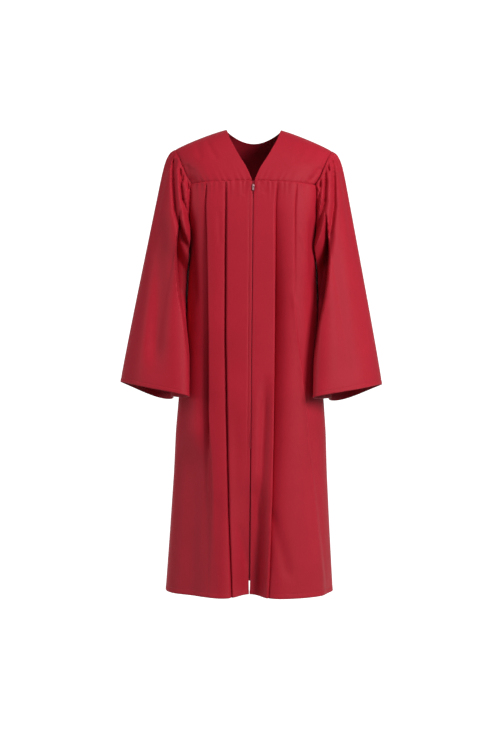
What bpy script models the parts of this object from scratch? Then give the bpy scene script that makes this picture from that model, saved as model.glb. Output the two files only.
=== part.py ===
"""Choir robe in its worn form: yokes, fluted panels, gathered bell sleeves and a front zip.

Metres, +Z up. The front faces -Y and left and right are the wearer's, so left is +X.
The origin is the middle of the neck opening, level with the sides of the neck.
"""

import bmesh
import bpy
import numpy as np

# Cloth and seams
WALL = 0.0015
SEAM_GAP = 0.0005
PLEAT_HALF_WIDTH = 0.0052

# Neck, shoulder and yoke
NECK_HALF_WIDTH = 0.0677
BACK_NECK_DEPTH = 0.054
SHOULDER_TIP_Z = -0.050
YOKE_SEAM_Z = -0.1385
YOKE_SEAM_DROP = 0.0050
V_POINT_HALF_GAP = 0.0035

# Armhole
UNDERARM_Z = -0.285
ARMHOLE_HALF_DEPTH = 0.085
FIT_FADE = 0.044

# Hem
HEM_Z = -1.132
HEM_RISE_AT_CENTRE = 0.005
HEM_RISE_WIDTH = 0.035

# Rings of the robe's body. Columns: height, half width, front depth, back depth, squareness
BODY_RINGS = np.array([
    (-0.130, 0.156, 0.124, 0.104, 3.6),
    (-0.200, 0.156, 0.130, 0.108, 3.8),
    (-0.285, 0.155, 0.131, 0.110, 3.6),
    (-0.374, 0.1575, 0.131, 0.113, 3.2),
    (-0.431, 0.1606, 0.133, 0.116, 3.0),
    (-0.560, 0.170, 0.140, 0.125, 2.7),
    (-0.740, 0.1841, 0.152, 0.140, 2.5),
    (-0.843, 0.188, 0.157, 0.148, 2.4),
    (-1.000, 0.197, 0.163, 0.160, 2.3),
    (-1.140, 0.206, 0.168, 0.170, 2.2),
])

# Where the sleeve seam runs across. Columns: height, distance from the middle
ARMHOLE_PATH = np.array([
    (-0.0500, 0.1930),
    (-0.0790, 0.1790),
    (-0.0985, 0.1713),
    (-0.1245, 0.1607),
    (-0.1435, 0.1490),
    (-0.1530, 0.1510),
    (-0.1850, 0.1520),
    (-0.2850, 0.1530),
])

# Front edges beside the zip. Columns: height, distance from the middle
ZIP_EDGE = np.array([
    (-0.130, 0.0035),
    (-0.147, 0.0034),
    (-0.163, 0.0034),
    (-0.172, 0.0014),
    (-0.780, 0.0014),
    (-0.900, 0.0018),
    (-1.090, 0.0022),
    (-1.140, 0.0012),
])

# Neck edge of the front yoke. Columns: share of the drop, share of the way in
V_NECK = np.array([
    (0.00, 0.00),
    (0.24, 0.16),
    (0.547, 0.498),
    (0.774, 0.80),
    (0.916, 0.93),
    (1.00, 1.00),
])

# Pleats of each front. Columns: height, inner pleat line, outer pleat line
PLEAT_LINES = {
    "right": np.array([
        (-0.140, 0.0655, 0.1125),
        (-0.200, 0.0642, 0.1152),
        (-0.310, 0.0640, 0.1107),
        (-0.510, 0.0630, 0.1057),
        (-0.755, 0.0560, 0.1023),
        (-0.940, 0.0506, 0.1000),
        (-1.140, 0.0424, 0.1010),
    ]),
    "left": np.array([
        (-0.140, 0.0579, 0.1057),
        (-0.200, 0.0531, 0.1011),
        (-0.430, 0.0568, 0.1035),
        (-0.510, 0.0571, 0.1108),
        (-0.600, 0.0570, 0.1234),
        (-0.755, 0.0560, 0.1394),
        (-0.940, 0.0527, 0.1617),
        (-1.140, 0.0452, 0.1860),
    ]),
    "back": np.array([
        (-0.140, 0.0450, 0.1000),
        (-0.400, 0.0460, 0.1010),
        (-0.740, 0.0520, 0.1130),
        (-1.140, 0.0600, 0.1300),
    ]),
}

# How deep each front's folds are. Columns: height, inner slit, outer slit, inner recess,
# outer recess, hollow at the middle
PLEAT_DEPTHS = {
    "right": np.array([
        (-0.139, 0.000, 0.000, 0.000, 0.000, 0.000),
        (-0.160, 0.008, 0.006, 0.001, 0.003, 0.000),
        (-0.225, 0.010, 0.005, 0.002, 0.006, 0.000),
        (-0.320, 0.012, 0.002, 0.002, 0.017, 0.000),
        (-0.700, 0.012, 0.001, 0.003, 0.025, 0.000),
        (-0.850, 0.011, 0.000, 0.002, 0.019, 0.010),
        (-1.140, 0.010, 0.000, 0.001, 0.010, 0.052),
    ]),
    "left": np.array([
        (-0.139, 0.000, 0.000, 0.000, 0.000, 0.000),
        (-0.160, 0.004, 0.003, 0.003, 0.000, 0.000),
        (-0.300, 0.005, 0.002, 0.012, 0.001, 0.000),
        (-0.450, 0.006, 0.000, 0.020, 0.002, 0.000),
        (-0.600, 0.006, 0.000, 0.020, 0.004, 0.000),
        (-0.850, 0.004, 0.000, 0.012, 0.008, 0.010),
        (-1.140, 0.003, 0.000, 0.007, 0.012, 0.052),
    ]),
    "back": np.array([
        (-0.139, 0.000, 0.000, 0.000, 0.000, 0.000),
        (-0.160, 0.007, 0.006, 0.003, 0.003, 0.000),
        (-0.300, 0.011, 0.009, 0.006, 0.006, 0.000),
        (-0.740, 0.012, 0.009, 0.009, 0.010, 0.003),
        (-1.140, 0.009, 0.006, 0.012, 0.014, 0.016),
    ]),
}
# Width over which the outer recess begins. Columns: height, width
RECESS_STARTS = {
    "right": np.array([(-0.700, 0.0052), (-0.850, 0.0240), (-1.140, 0.0560)]),
    "left": np.array([(-0.700, 0.0052), (-0.850, 0.0140), (-1.140, 0.0300)]),
    "back": np.array([(-0.500, 0.0052), (-0.850, 0.0180), (-1.140, 0.0400)]),
}
RECESS_LENGTH = 0.024
# The broad hollow beside the outer pleat low on the right front: distance from the middle,
# height where it begins and is full, depth, half width
FACET = (0.148, -0.700, -0.880, 0.017, 0.036)
FLAT_AT_SEAM = 0.6
HOLLOW_WIDTH = 0.034

# Cuff, from the outer side round by the front. Columns: angle, across, depth, height
CUFF_RING = np.array([
    (0, 0.3215, -0.010, -0.623),
    (45, 0.2920, -0.098, -0.6265),
    (90, 0.2220, -0.146, -0.6395),
    (135, 0.1475, -0.140, -0.6550),
    (180, 0.1870, -0.030, -0.658),
    (225, 0.1960, 0.055, -0.660),
    (270, 0.2250, 0.128, -0.665),
    (315, 0.2920, 0.085, -0.640),
])
SLEEVE_PUFF = 0.018
SLEEVE_PUFF_LENGTH = 0.035
GATHER_DEPTH = 0.0032
GATHER_PITCH = 18.0
GATHER_HALF_SPAN = 117.0
GATHER_FADE = 0.11
ARM_CLEARANCE = 0.0045
CLEARANCE_BLEND = 0.0015

# Long folds of a sleeve. Columns: angle and share of the length where it starts, the same
# where it ends, depth, half width in degrees
SLEEVE_FOLDS = np.array([
    (50, 0.00, 132, 0.24, 0.011, 9.0),
    (64, 0.00, 116, 0.13, 0.008, 7.0),
    (20, 0.02, 34, 0.45, 0.004, 10.0),
    (-40, 0.01, -62, 0.40, 0.007, 9.0),
    (-78, 0.01, -120, 0.30, 0.009, 9.0),
    (-105, 0.30, -112, 0.95, 0.009, 16.0),
    (76, 0.35, 84, 1.00, 0.006, 14.0),
])

# Edge of the sleeve's front roll, beyond which the cloth lies back beside the body.
# Columns: share of the length, angle, depth
INNER_FOLD = np.array([
    (0.05, 62, 0.000),
    (0.16, 68, 0.009),
    (0.28, 79, 0.018),
    (0.45, 100, 0.019),
    (0.60, 117, 0.014),
    (0.78, 128, 0.006),
    (0.95, 134, 0.000),
])
FOLD_TURN = 16.0
TUCK_DEPTH = 0.009
TUCK_ANGLE = 135.0
TUCK_HALF_WIDTH = 20.0

# Zip
ZIP_BOTTOM_Z = -0.779
TAPE_WIDTH = 0.0125
TAPE_WALL = 0.0010
TAPE_HALF_GAP = 0.0004
SEAT_GAP = 0.0006
TAPE_GAP = 0.0008
SLIDER_SIZE = (0.0052, 0.0034, 0.0085)
SLIDER_BEVEL = 0.0006
SLIDER_Z = -0.1530
BAIL_RADIUS = 0.0022
BAIL_WIRE = 0.0004
HINGE_STAND = 0.0010
PULL_SIZE = (0.0048, 0.0008, 0.0108)
PULL_BEVEL = 0.00025
PULL_BAR = 0.0008
PULL_HOLE = (0.0024, 0.0027)
STOP_SIZE = (0.0060, 0.0012, 0.0040)
STOP_GAP = 0.0006

CRIMSON = (0.42, 0.022, 0.045, 1.0)
METAL = (0.62, 0.56, 0.55, 1.0)


def clear_scene():
    for thing in list(bpy.data.objects):
        bpy.data.objects.remove(thing, do_unlink=True)


def finish_material(name, colour, roughness, metallic):
    material = bpy.data.materials.new(name)
    material.use_nodes = True
    shader = material.node_tree.nodes["Principled BSDF"]
    shader.inputs["Base Color"].default_value = colour
    shader.inputs["Roughness"].default_value = roughness
    shader.inputs["Metallic"].default_value = metallic
    return material


def from_table(table, at, column):
    """One column of a table, read at any height between its rows."""
    order = np.argsort(table[:, 0])
    return np.interp(at, table[order, 0], table[order, column])


def smooth(share):
    share = np.clip(share, 0.0, 1.0)
    return share * share * (3.0 - 2.0 * share)


def ring_sizes(z, front):
    """Half width, depth and squareness of the body's ring at a height."""
    depth = from_table(BODY_RINGS, z, 2 if front else 3)
    return from_table(BODY_RINGS, z, 1), depth, from_table(BODY_RINGS, z, 4)


def ring_angle(across, z, front):
    """Angle round a ring at which it lies this far across."""
    half_width, _, square = ring_sizes(z, front)
    return np.arcsin(np.clip(across / half_width, 0.0, 1.0) ** (square / 2.0))


def ring_point(angle, z, front):
    """Across and depth of a squared ellipse, and its outward direction."""
    half_width, depth, square = ring_sizes(z, front)
    along = np.clip(np.sin(angle), 1e-9, 1.0) ** (2.0 / square)
    deep = np.clip(np.cos(angle), 1e-9, 1.0) ** (2.0 / square)
    slope_x = along ** (square - 1.0) / half_width
    slope_y = deep ** (square - 1.0) / depth
    size = np.hypot(slope_x, slope_y)
    return half_width * along, depth * deep, slope_x / size, slope_y / size


def armhole_turn(z):
    """Angle round the armhole, from its top, at a height."""
    share = np.clip((SHOULDER_TIP_Z - z) / (SHOULDER_TIP_Z - UNDERARM_Z), 0.0, 1.0)
    return np.arccos(1.0 - 2.0 * share)


def armhole(turn):
    """The sleeve seam: across, depth (positive to the front) and height."""
    z = SHOULDER_TIP_Z - (SHOULDER_TIP_Z - UNDERARM_Z) * (1.0 - np.cos(turn)) / 2.0
    return from_table(ARMHOLE_PATH, z, 1), ARMHOLE_HALF_DEPTH * np.sin(turn), z


def seam_height(share):
    """Height of the yoke seam from the middle, 0, to the armhole, 1."""
    return YOKE_SEAM_Z - YOKE_SEAM_DROP * share ** 1.5


def grid_normals(grid, around=False):
    """Unit normals of a grid of points, by the cross product of its two directions."""
    if around:
        wide = np.concatenate([grid[:, -1:], grid, grid[:, :1]], axis=1)
        along = np.gradient(wide, axis=1)[:, 1:-1]
    else:
        along = np.gradient(grid, axis=1)
    normal = np.cross(along, np.gradient(grid, axis=0))
    return normal / np.linalg.norm(normal, axis=2, keepdims=True)


def wall_from_grid(name, grid, material, wall=WALL, around=False, flat_rows=()):
    """A closed wall whose middle is the grid. A flat row's ends lie level with it."""
    normal = grid_normals(grid, around)
    for row in flat_rows:
        normal[row, :, 2] = 0.0
        normal[row] /= np.linalg.norm(normal[row], axis=1, keepdims=True)
    rows, columns = grid.shape[:2]
    points = np.concatenate([grid + normal * wall / 2, grid - normal * wall / 2]).reshape(-1, 3)
    index = np.arange(2 * rows * columns).reshape(2, rows, columns)
    if around:
        index = np.concatenate([index, index[:, :, :1]], axis=2)
    outer, inner = index
    faces = []
    for side in (outer, inner):
        faces.append(np.stack([side[:-1, :-1], side[:-1, 1:], side[1:, 1:], side[1:, :-1]], -1))
    for row in (0, -1):
        faces.append(np.stack([outer[row, :-1], outer[row, 1:], inner[row, 1:], inner[row, :-1]], -1))
    if not around:
        for column in (0, -1):
            edge = (outer[:-1, column], outer[1:, column], inner[1:, column], inner[:-1, column])
            faces.append(np.stack(edge, -1))
    faces = np.concatenate([block.reshape(-1, 4) for block in faces])
    return mesh_object(name, points, faces, material)


def mesh_object(name, points, faces, material):
    mesh = bpy.data.meshes.new(name)
    mesh.from_pydata(points.tolist(), [], faces.tolist())
    shape = bmesh.new()
    shape.from_mesh(mesh)
    bmesh.ops.recalc_face_normals(shape, faces=shape.faces)
    bmesh.ops.triangulate(shape, faces=shape.faces)
    shape.to_mesh(mesh)
    shape.free()
    mesh.shade_smooth()
    mesh.set_sharp_from_angle(angle=np.radians(50))
    thing = bpy.data.objects.new(name, mesh)
    bpy.context.collection.objects.link(thing)
    mesh.materials.append(material)
    return thing


def subdivided(counts):
    """Column codes: whole numbers at the anchors, with this many steps between them."""
    codes = [np.arange(count) / count + place for place, count in enumerate(counts)]
    return np.append(np.concatenate(codes), len(counts))


def column_angles(pleats, codes, z, front):
    """Angles round the ring of every column: its middle edge, five lines round each pleat
    line, and the armhole or the side seam, with the codes between them."""
    lines = PLEAT_LINES[pleats]
    inner, outer = from_table(lines, z, 1), from_table(lines, z, 2)
    middle = from_table(ZIP_EDGE, z, 1) if front else np.zeros_like(z)
    steps = np.array([-1.0, -0.5, 0.0, 0.5, 1.0]) * PLEAT_HALF_WIDTH
    across = [middle] + [inner + step for step in steps] + [outer + step for step in steps]
    angles = [ring_angle(place, z, front) for place in across]
    _, depth, square = ring_sizes(z, front)
    seam_depth = ARMHOLE_HALF_DEPTH * np.sin(armhole_turn(z))
    angles.append(np.arccos(np.clip(seam_depth / depth, 0.0, 1.0) ** (square / 2.0)))
    angles = np.stack(angles)
    lower = np.minimum(codes.astype(int), len(angles) - 2)
    part = codes - lower
    columns = np.arange(len(codes))
    return angles[lower, :, columns].T * (1 - part) + angles[lower + 1, :, columns].T * part


def panel_grid(pleats, codes, shares, front, inset=0.0):
    """Half of the robe's front or back, from its middle to the armhole and the side seam.

    The pleats press the ring inwards as narrow slits, as one-sided recesses that run out
    from the line, and as a hollow at the middle of the hem.
    """
    level = np.full((1, len(codes)), YOKE_SEAM_Z)
    at_seam = ring_point(column_angles(pleats, codes, level, front), level, front)[0][0]
    top = seam_height(at_seam / at_seam[-1]) - SEAM_GAP
    nominal = top[None, :] + (HEM_Z - top[None, :]) * shares[:, None]
    lines, depths = PLEAT_LINES[pleats], PLEAT_DEPTHS[pleats]
    inner, outer = from_table(lines, nominal, 1), from_table(lines, nominal, 2)
    middle = from_table(ZIP_EDGE, nominal, 1) if front else np.zeros_like(nominal)
    angle = column_angles(pleats, codes, nominal, front)
    x, y, out_x, out_y = ring_point(angle, nominal, front)
    slit = sum(
        from_table(depths, nominal, column) * np.clip(1 - abs(x - line) / PLEAT_HALF_WIDTH, 0, 1)
        for column, line in ((1, inner), (2, outer))
    )
    starts = from_table(RECESS_STARTS[pleats], nominal, 1)
    recess = sum(
        from_table(depths, nominal, column)
        * np.exp(-np.maximum(x - line, 0) / RECESS_LENGTH)
        * smooth((x - line) / start + 0.5)
        for column, line, start in ((3, inner, PLEAT_HALF_WIDTH), (4, outer, starts))
    )
    if pleats == "right":
        centre, begins, full, deep, half_width = FACET
        shape = np.exp(-(((x - centre) / half_width) ** 2))
        recess = recess + deep * shape * smooth((begins - nominal) / (begins - full))
    hollow = from_table(depths, nominal, 5) * np.exp(-((x / HOLLOW_WIDTH) ** 2))
    sideways = smooth((codes[-1] - codes) / FLAT_AT_SEAM)[None, :]
    inwards = (slit + recess) * sideways + inset
    fit = from_table(ARMHOLE_PATH, nominal, 1) - x[:, -1:]
    fit = fit * smooth(codes - codes[-1] + 1)[None, :]
    fit = np.where(nominal > UNDERARM_Z, fit, fit * np.exp(-(UNDERARM_Z - nominal) / FIT_FADE))
    x = np.maximum(x - inwards * out_x + fit, middle)
    y = y - inwards * out_y - hollow
    rise = HEM_RISE_AT_CENTRE * np.exp(-((x / HEM_RISE_WIDTH) ** 2)) * shares[:, None] ** 4
    if not front:
        rise = np.zeros_like(rise)
    y = np.maximum(y, SEAM_GAP / 2)
    return np.stack([x, -y if front else y, nominal + rise], axis=2)


PANEL_CODES = subdivided([5, 1, 1, 1, 1, 4, 1, 1, 1, 1, 8])
PANEL_SHARES = np.append(
    [0.0, 0.012, 0.0235, 0.034, 0.055, 0.085, 0.115, 0.147], np.linspace(0.19, 1.0, 11)
)


def make_front(side, material):
    grid = panel_grid(side, PANEL_CODES, PANEL_SHARES, True)
    grid[:, :, 0] *= 1 if side == "left" else -1
    return wall_from_grid("front_" + side, grid, material, flat_rows=(0,))


def make_back(material):
    half = panel_grid("back", PANEL_CODES, PANEL_SHARES, False)
    other = half[:, :0:-1] * np.array([-1, 1, 1])
    grid = np.concatenate([other, half], axis=1)
    return wall_from_grid("back", grid, material, flat_rows=(0,))


def yoke_turn():
    """How far round the armhole the yoke reaches, down to its seam."""
    return armhole_turn(seam_height(1.0))


def shoulder_point(share):
    """The shoulder seam from the side of the neck, 0, to the tip, 1."""
    tip = ARMHOLE_PATH[0, 1]
    x = NECK_HALF_WIDTH + (tip - NECK_HALF_WIDTH) * share
    return x, SHOULDER_TIP_Z * (share - 0.35 * share * (1 - share))


def front_yoke_grid(across, along):
    """A front yoke: across from the neck edge to the armhole, along from the seam up."""
    share, rise = np.meshgrid(across, along)
    turn = yoke_turn() * (1 - rise)
    edge_x, edge_depth, edge_z = armhole(turn)
    swing = np.sin(turn) / np.sin(yoke_turn())
    drop = (1 - np.cos(turn)) / (1 - np.cos(yoke_turn()))
    neck_z = seam_height(0.0) * drop
    neck_x = NECK_HALF_WIDTH + (V_POINT_HALF_GAP - NECK_HALF_WIDTH) * from_table(V_NECK, drop, 1)
    top_x, top_z = shoulder_point(share)
    seam_x = V_POINT_HALF_GAP + (ARMHOLE_PATH[4, 1] - V_POINT_HALF_GAP) * share
    seam_z = seam_height(share)
    _, seam_y, _, _ = ring_point(ring_angle(seam_x, seam_z, True), seam_z, True)
    edge_fit = ARMHOLE_HALF_DEPTH * np.sin(yoke_turn()) - seam_y[:, -1:]
    seam_y = seam_y + edge_fit * smooth((share - 0.6) / 0.4)
    x = neck_x + (edge_x - neck_x) * share
    chord_z = neck_z + (edge_z - neck_z) * share
    flat_z = top_z + (seam_z - top_z) * drop
    z = flat_z + (chord_z - flat_z) * share * (1 - share)
    y = seam_y * swing
    return np.stack([x, -np.maximum(y, SEAM_GAP / 2), z], axis=2)


def make_front_yoke(side, material):
    grid = front_yoke_grid(np.linspace(0, 1, 12), np.linspace(0, 1, 10))
    grid[:, :, 0] *= 1 if side == "left" else -1
    return wall_from_grid("yoke_front_" + side, grid, material, flat_rows=(0,))


def back_yoke_grid(neck_columns, shoulder_columns, rows):
    """The back yoke: one arch from the shoulder line down to the back seam, which the back
    neck's half oval cuts into between the sides of the neck."""
    neck_x = NECK_HALF_WIDTH * np.sin(np.linspace(0, 1, neck_columns + 1) * np.pi / 2)
    share = np.linspace(0, 1, shoulder_columns + 1)[1:]
    shoulder_x, shoulder_z = shoulder_point(share)
    top_x = np.append(neck_x, shoulder_x)
    top_z = np.append(np.zeros_like(neck_x), shoulder_z)
    oval = np.sqrt(np.clip(1 - (top_x / NECK_HALF_WIDTH) ** 2, 0, 1))
    reach = top_x / top_x[-1]
    seam_x = ARMHOLE_PATH[4, 1] * reach
    seam_z = seam_height(reach)
    _, seam_y, _, _ = ring_point(ring_angle(seam_x, seam_z, False), seam_z, False)
    edge_fit = ARMHOLE_HALF_DEPTH * np.sin(yoke_turn()) - seam_y[-1]
    seam_y = seam_y + edge_fit * smooth((reach - 0.6) / 0.4)
    first = np.arcsin(np.clip(BACK_NECK_DEPTH * oval / seam_y * np.sin(yoke_turn()), 0, 1))
    turn = first + (yoke_turn() - first) * np.linspace(0, 1, rows)[:, None]
    swing = np.sin(turn) / np.sin(yoke_turn())
    drop = (1 - np.cos(turn)) / (1 - np.cos(yoke_turn()))
    edge_x = armhole(turn[:, -1:])[0]
    lean = top_x + (seam_x - top_x) * drop
    x = lean + (edge_x - lean[:, -1:]) * smooth((reach - 0.5) / 0.5)
    y = np.maximum(seam_y * swing, SEAM_GAP / 2)
    z = top_z + (seam_z - top_z) * drop
    half = np.stack([x, y, z], axis=2)
    return np.concatenate([half[:, :0:-1] * np.array([-1, 1, 1]), half], axis=1)


def make_back_yoke(material):
    return wall_from_grid("yoke_back", back_yoke_grid(6, 8, 10), material, flat_rows=(-1,))


def periodic_spline(table, at):
    """A closed smooth curve through a table's rows, by Fourier terms over its angles."""
    count = len(table)
    terms = np.fft.rfft(table[:, 1:], axis=0) / count
    turns = np.radians(at)[..., None]
    value = np.real(terms[0]) * np.ones(at.shape + (3,))
    for order in range(1, len(terms)):
        weight = 1.0 if order == count / 2 else 2.0
        wave = terms[order].real * np.cos(order * turns) - terms[order].imag * np.sin(order * turns)
        value = value + weight * wave
    return value


def sleeve_angles(head_columns, under_columns):
    """Angles round the sleeve from the underarm, closer together over the gathered head."""
    head = np.linspace(-GATHER_HALF_SPAN, GATHER_HALF_SPAN, head_columns + 1)
    under = np.linspace(GATHER_HALF_SPAN, 360 - GATHER_HALF_SPAN, under_columns + 1)[1:-1]
    return np.append(head, under)


def fold_depth(angle, share):
    """Inward press of the long folds, each a trough along a line over the sleeve."""
    press = np.zeros_like(angle)
    for start_angle, start, end_angle, end, depth, half_width in SLEEVE_FOLDS:
        along = (share - start) / (end - start)
        centre = start_angle + (end_angle - start_angle) * np.clip(along, 0, 1)
        off = (angle - centre + 180) % 360 - 180
        ends = smooth(along / 0.18 + 0.6) * smooth((1 - along) / 0.25 + 0.15)
        press = press + depth * np.exp(-((off / half_width) ** 2)) * ends
    return press


def inner_fold(angle, share):
    """Inward press of the cloth that lies back beyond the edge of the front roll."""
    edge, depth = from_table(INNER_FOLD, share, 1), from_table(INNER_FOLD, share, 2)
    return depth * smooth((angle - edge) / FOLD_TURN + 0.5) * smooth((190 - angle) / 35)


def tuck(angle, share):
    """How far the cloth by the front of the underarm leans in to the robe's side."""
    lean = TUCK_DEPTH * np.exp(-(((angle - TUCK_ANGLE) / TUCK_HALF_WIDTH) ** 2))
    return lean * smooth(share / 0.04) * (1 - smooth((share - 0.25) / 0.2))


def body_reach(y, z):
    """How far across the robe's body reaches at a depth and a height."""
    front, back = y < 0, y >= 0
    reach = np.zeros_like(y)
    for side, is_front in ((front, True), (back, False)):
        half_width, depth, square = ring_sizes(z, is_front)
        inside = np.clip(1 - (np.abs(y) / depth) ** square, 0, 1) ** (1 / square)
        reach = np.where(side, half_width * inside, reach)
    return reach


def sleeve_grid(angles, shares):
    """A sleeve: straight lines from the armhole to the cuff, puffed, gathered and folded."""
    angle, share = np.meshgrid(angles, shares)
    turn = np.radians(angle)
    wrapped = (angle + 180) % 360 - 180
    seam_x, seam_depth, seam_z = armhole(np.abs(np.radians(wrapped)))
    start = np.stack([seam_x, -seam_depth * np.sign(wrapped), seam_z], axis=2)
    end = periodic_spline(CUFF_RING, angle)
    away = np.stack([np.cos(turn) * 0.5 + 0.5, -np.sin(turn), 0.25 * np.cos(turn)], axis=2)
    away = away / np.linalg.norm(away, axis=2, keepdims=True)
    stand_off = 0.0008 + 0.0012 * (1 - np.cos(turn)) / 2 + 0.0006 * (1 + np.cos(turn)) / 2
    start[:, :, 0] += stand_off
    grid = start + (end - start) * share[:, :, None]
    puff = SLEEVE_PUFF * (1 - np.exp(-share / SLEEVE_PUFF_LENGTH)) * (1 - share) ** 0.75
    puff = puff * (0.35 + 0.65 * smooth((150 - np.abs(wrapped)) / 70))
    head = smooth((GATHER_HALF_SPAN - np.abs(wrapped)) / 15)
    wave = GATHER_DEPTH * np.cos(2 * np.pi * wrapped / GATHER_PITCH) * head
    wave = wave * smooth(share / 0.035 + 0.25) * np.exp(-share / GATHER_FADE)
    press = fold_depth(angle, share) * smooth(share / 0.05) + inner_fold(angle % 360, share)
    grid = grid + away * (puff + wave - press)[:, :, None]
    grid[:, :, 0] -= tuck(angle % 360, share)
    least = body_reach(grid[:, :, 1], grid[:, :, 2]) + ARM_CLEARANCE * smooth(share / 0.08)
    short = least - grid[:, :, 0]
    grid[:, :, 0] += (short + np.sqrt(short ** 2 + CLEARANCE_BLEND ** 2)) / 2 * smooth(share / 0.02)
    return grid


SLEEVE_SHARES = np.array([0, 0.018, 0.045, 0.08, 0.125, 0.18, 0.25, 0.34, 0.45, 0.58, 0.72, 0.86, 1.0])


def make_sleeve(side, material):
    grid = sleeve_grid(sleeve_angles(50, 14), SLEEVE_SHARES)
    grid[:, :, 0] *= 1 if side == "left" else -1
    return wall_from_grid("sleeve_" + side, grid, material, around=True)


def tape_grid(side):
    """Zip tape behind a front edge: the front's own points moved inwards."""
    behind = (WALL + TAPE_WALL) / 2 + TAPE_GAP
    edge = panel_grid(side, PANEL_CODES, PANEL_SHARES, True, behind)[:, :2]
    share = (TAPE_WIDTH - edge[:, :1, 0]) / (edge[:, 1:, 0] - edge[:, :1, 0])
    edge[:, 1] = edge[:, 0] + (edge[:, 1] - edge[:, 0]) * share
    heights = np.append(edge[edge[:, 0, 2] > ZIP_BOTTOM_Z, 0, 2], ZIP_BOTTOM_Z)
    heights[0] -= SEAM_GAP
    tape = np.zeros((len(heights), 2, 3))
    for column in range(2):
        for axis in (0, 1):
            tape[:, column, axis] = np.interp(-heights, -edge[:, column, 2], edge[:, column, axis])
        tape[:, column, 2] = heights
    tape[:, 0, 0] = TAPE_HALF_GAP
    tape[:, :, 0] *= 1 if side == "left" else -1
    return tape


def make_tape(side, material):
    return wall_from_grid("zip_tape_" + side, tape_grid(side), material, TAPE_WALL, flat_rows=(0,))


def bevelled_box(name, size, centre, bevel, material):
    shape = bmesh.new()
    bmesh.ops.create_cube(shape, size=1.0)
    bmesh.ops.scale(shape, vec=size, verts=shape.verts)
    bmesh.ops.bevel(
        shape, geom=shape.edges[:], offset=bevel, segments=2, profile=0.5, affect="EDGES"
    )
    mesh = bpy.data.meshes.new(name)
    shape.to_mesh(mesh)
    shape.free()
    mesh.materials.append(material)
    thing = bpy.data.objects.new(name, mesh)
    bpy.context.collection.objects.link(thing)
    thing.location = centre
    return thing


def bail_points(face_y, turns):
    """The bail: a half ring of wire that stands on the slider's face."""
    turn = np.linspace(0, np.pi, turns)
    points = [(0, BAIL_WIRE, BAIL_RADIUS)]
    points += [(0, -BAIL_RADIUS * np.sin(at), BAIL_RADIUS * np.cos(at)) for at in turn]
    points += [(0, BAIL_WIRE, -BAIL_RADIUS)]
    return np.array(points) + np.array([0, face_y, SLIDER_Z])


def wire(name, path, radius, sides, material):
    """A bent wire in the plane X = 0 with flat ends."""
    along = np.gradient(path, axis=0)
    along /= np.linalg.norm(along, axis=1, keepdims=True)
    across = np.array([1.0, 0.0, 0.0])
    up = np.cross(along, across)
    turn = np.arange(sides) * 2 * np.pi / sides
    rings = path[:, None] + radius * (
        np.cos(turn)[None, :, None] * across + np.sin(turn)[None, :, None] * up[:, None]
    )
    points = rings.reshape(-1, 3)
    index = np.arange(len(points)).reshape(len(path), sides)
    wide = np.concatenate([index, index[:, :1]], axis=1)
    sides_faces = np.stack([wide[:-1, :-1], wide[:-1, 1:], wide[1:, 1:], wide[1:, :-1]], -1)
    faces = sides_faces.reshape(-1, 4).tolist() + [index[0].tolist(), index[-1].tolist()]
    mesh = bpy.data.meshes.new(name)
    mesh.from_pydata(points.tolist(), [], faces)
    shape = bmesh.new()
    shape.from_mesh(mesh)
    bmesh.ops.recalc_face_normals(shape, faces=shape.faces)
    shape.to_mesh(mesh)
    shape.free()
    mesh.materials.append(material)
    thing = bpy.data.objects.new(name, mesh)
    bpy.context.collection.objects.link(thing)
    return thing


def cut_or_joined(base, helper, operation):
    """Joins a helper shape to another, or cuts it away, and keeps the helper out of sight."""
    change = base.modifiers.new("with_" + helper.name, "BOOLEAN")
    change.operation = operation
    change.object = helper
    helper.hide_render = True
    helper.display_type = "WIRE"
    return base


def slider_face():
    """Depth at which the slider's face lies, seated in front of the zip tapes."""
    level = np.array(SLIDER_Z)
    panel = -ring_sizes(level, True)[1]
    tape_face = panel + WALL / 2 + TAPE_GAP
    return float(tape_face) - SEAT_GAP - SLIDER_SIZE[1]


def make_slider(material):
    """Slider body between the front edges, with its bail."""
    face_y = slider_face()
    centre = (0, face_y + SLIDER_SIZE[1] / 2, SLIDER_Z)
    body = bevelled_box("zip_slider", SLIDER_SIZE, centre, SLIDER_BEVEL, material)
    bail = wire("bail_helper", bail_points(face_y, 9), BAIL_WIRE, 8, material)
    return cut_or_joined(body, bail, "UNION")


def make_pull(material):
    """Pull tab, hung in the bail by the bar above its hole. Its origin is on the hinge line."""
    hinge = (0, slider_face() - HINGE_STAND, SLIDER_Z)
    width, thick, height = PULL_SIZE
    middle_z = SLIDER_Z + PULL_BAR / 2 - height / 2
    tab = bevelled_box("zip_pull", PULL_SIZE, (0, hinge[1], middle_z), PULL_BEVEL, material)
    hole_size = (PULL_HOLE[0], thick * 3, PULL_HOLE[1])
    hole_z = SLIDER_Z - PULL_BAR / 2 - PULL_HOLE[1] / 2
    hole = bevelled_box("pull_hole_helper", hole_size, (0, hinge[1], hole_z), PULL_BEVEL / 2, material)
    cut_or_joined(tab, hole, "DIFFERENCE")
    pivot = bpy.data.objects.new("pull_hinge", None)
    pivot.location = hinge
    bpy.context.collection.objects.link(pivot)
    for thing in (tab, hole):
        thing.location = np.array(thing.location) - np.array(hinge)
        thing.parent = pivot
    return tab


def make_stop(material):
    """Bottom stop, clipped behind both tapes at the end of the zip."""
    height = ZIP_BOTTOM_Z + STOP_SIZE[2]
    rows = tape_grid("left")
    tape_y = np.interp(-height, -rows[:, 0, 2], rows[:, 0, 1])
    centre_y = tape_y + TAPE_WALL / 2 + STOP_GAP + STOP_SIZE[1] / 2
    return bevelled_box("zip_stop", STOP_SIZE, (0, centre_y, height), PULL_BEVEL, material)


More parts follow.
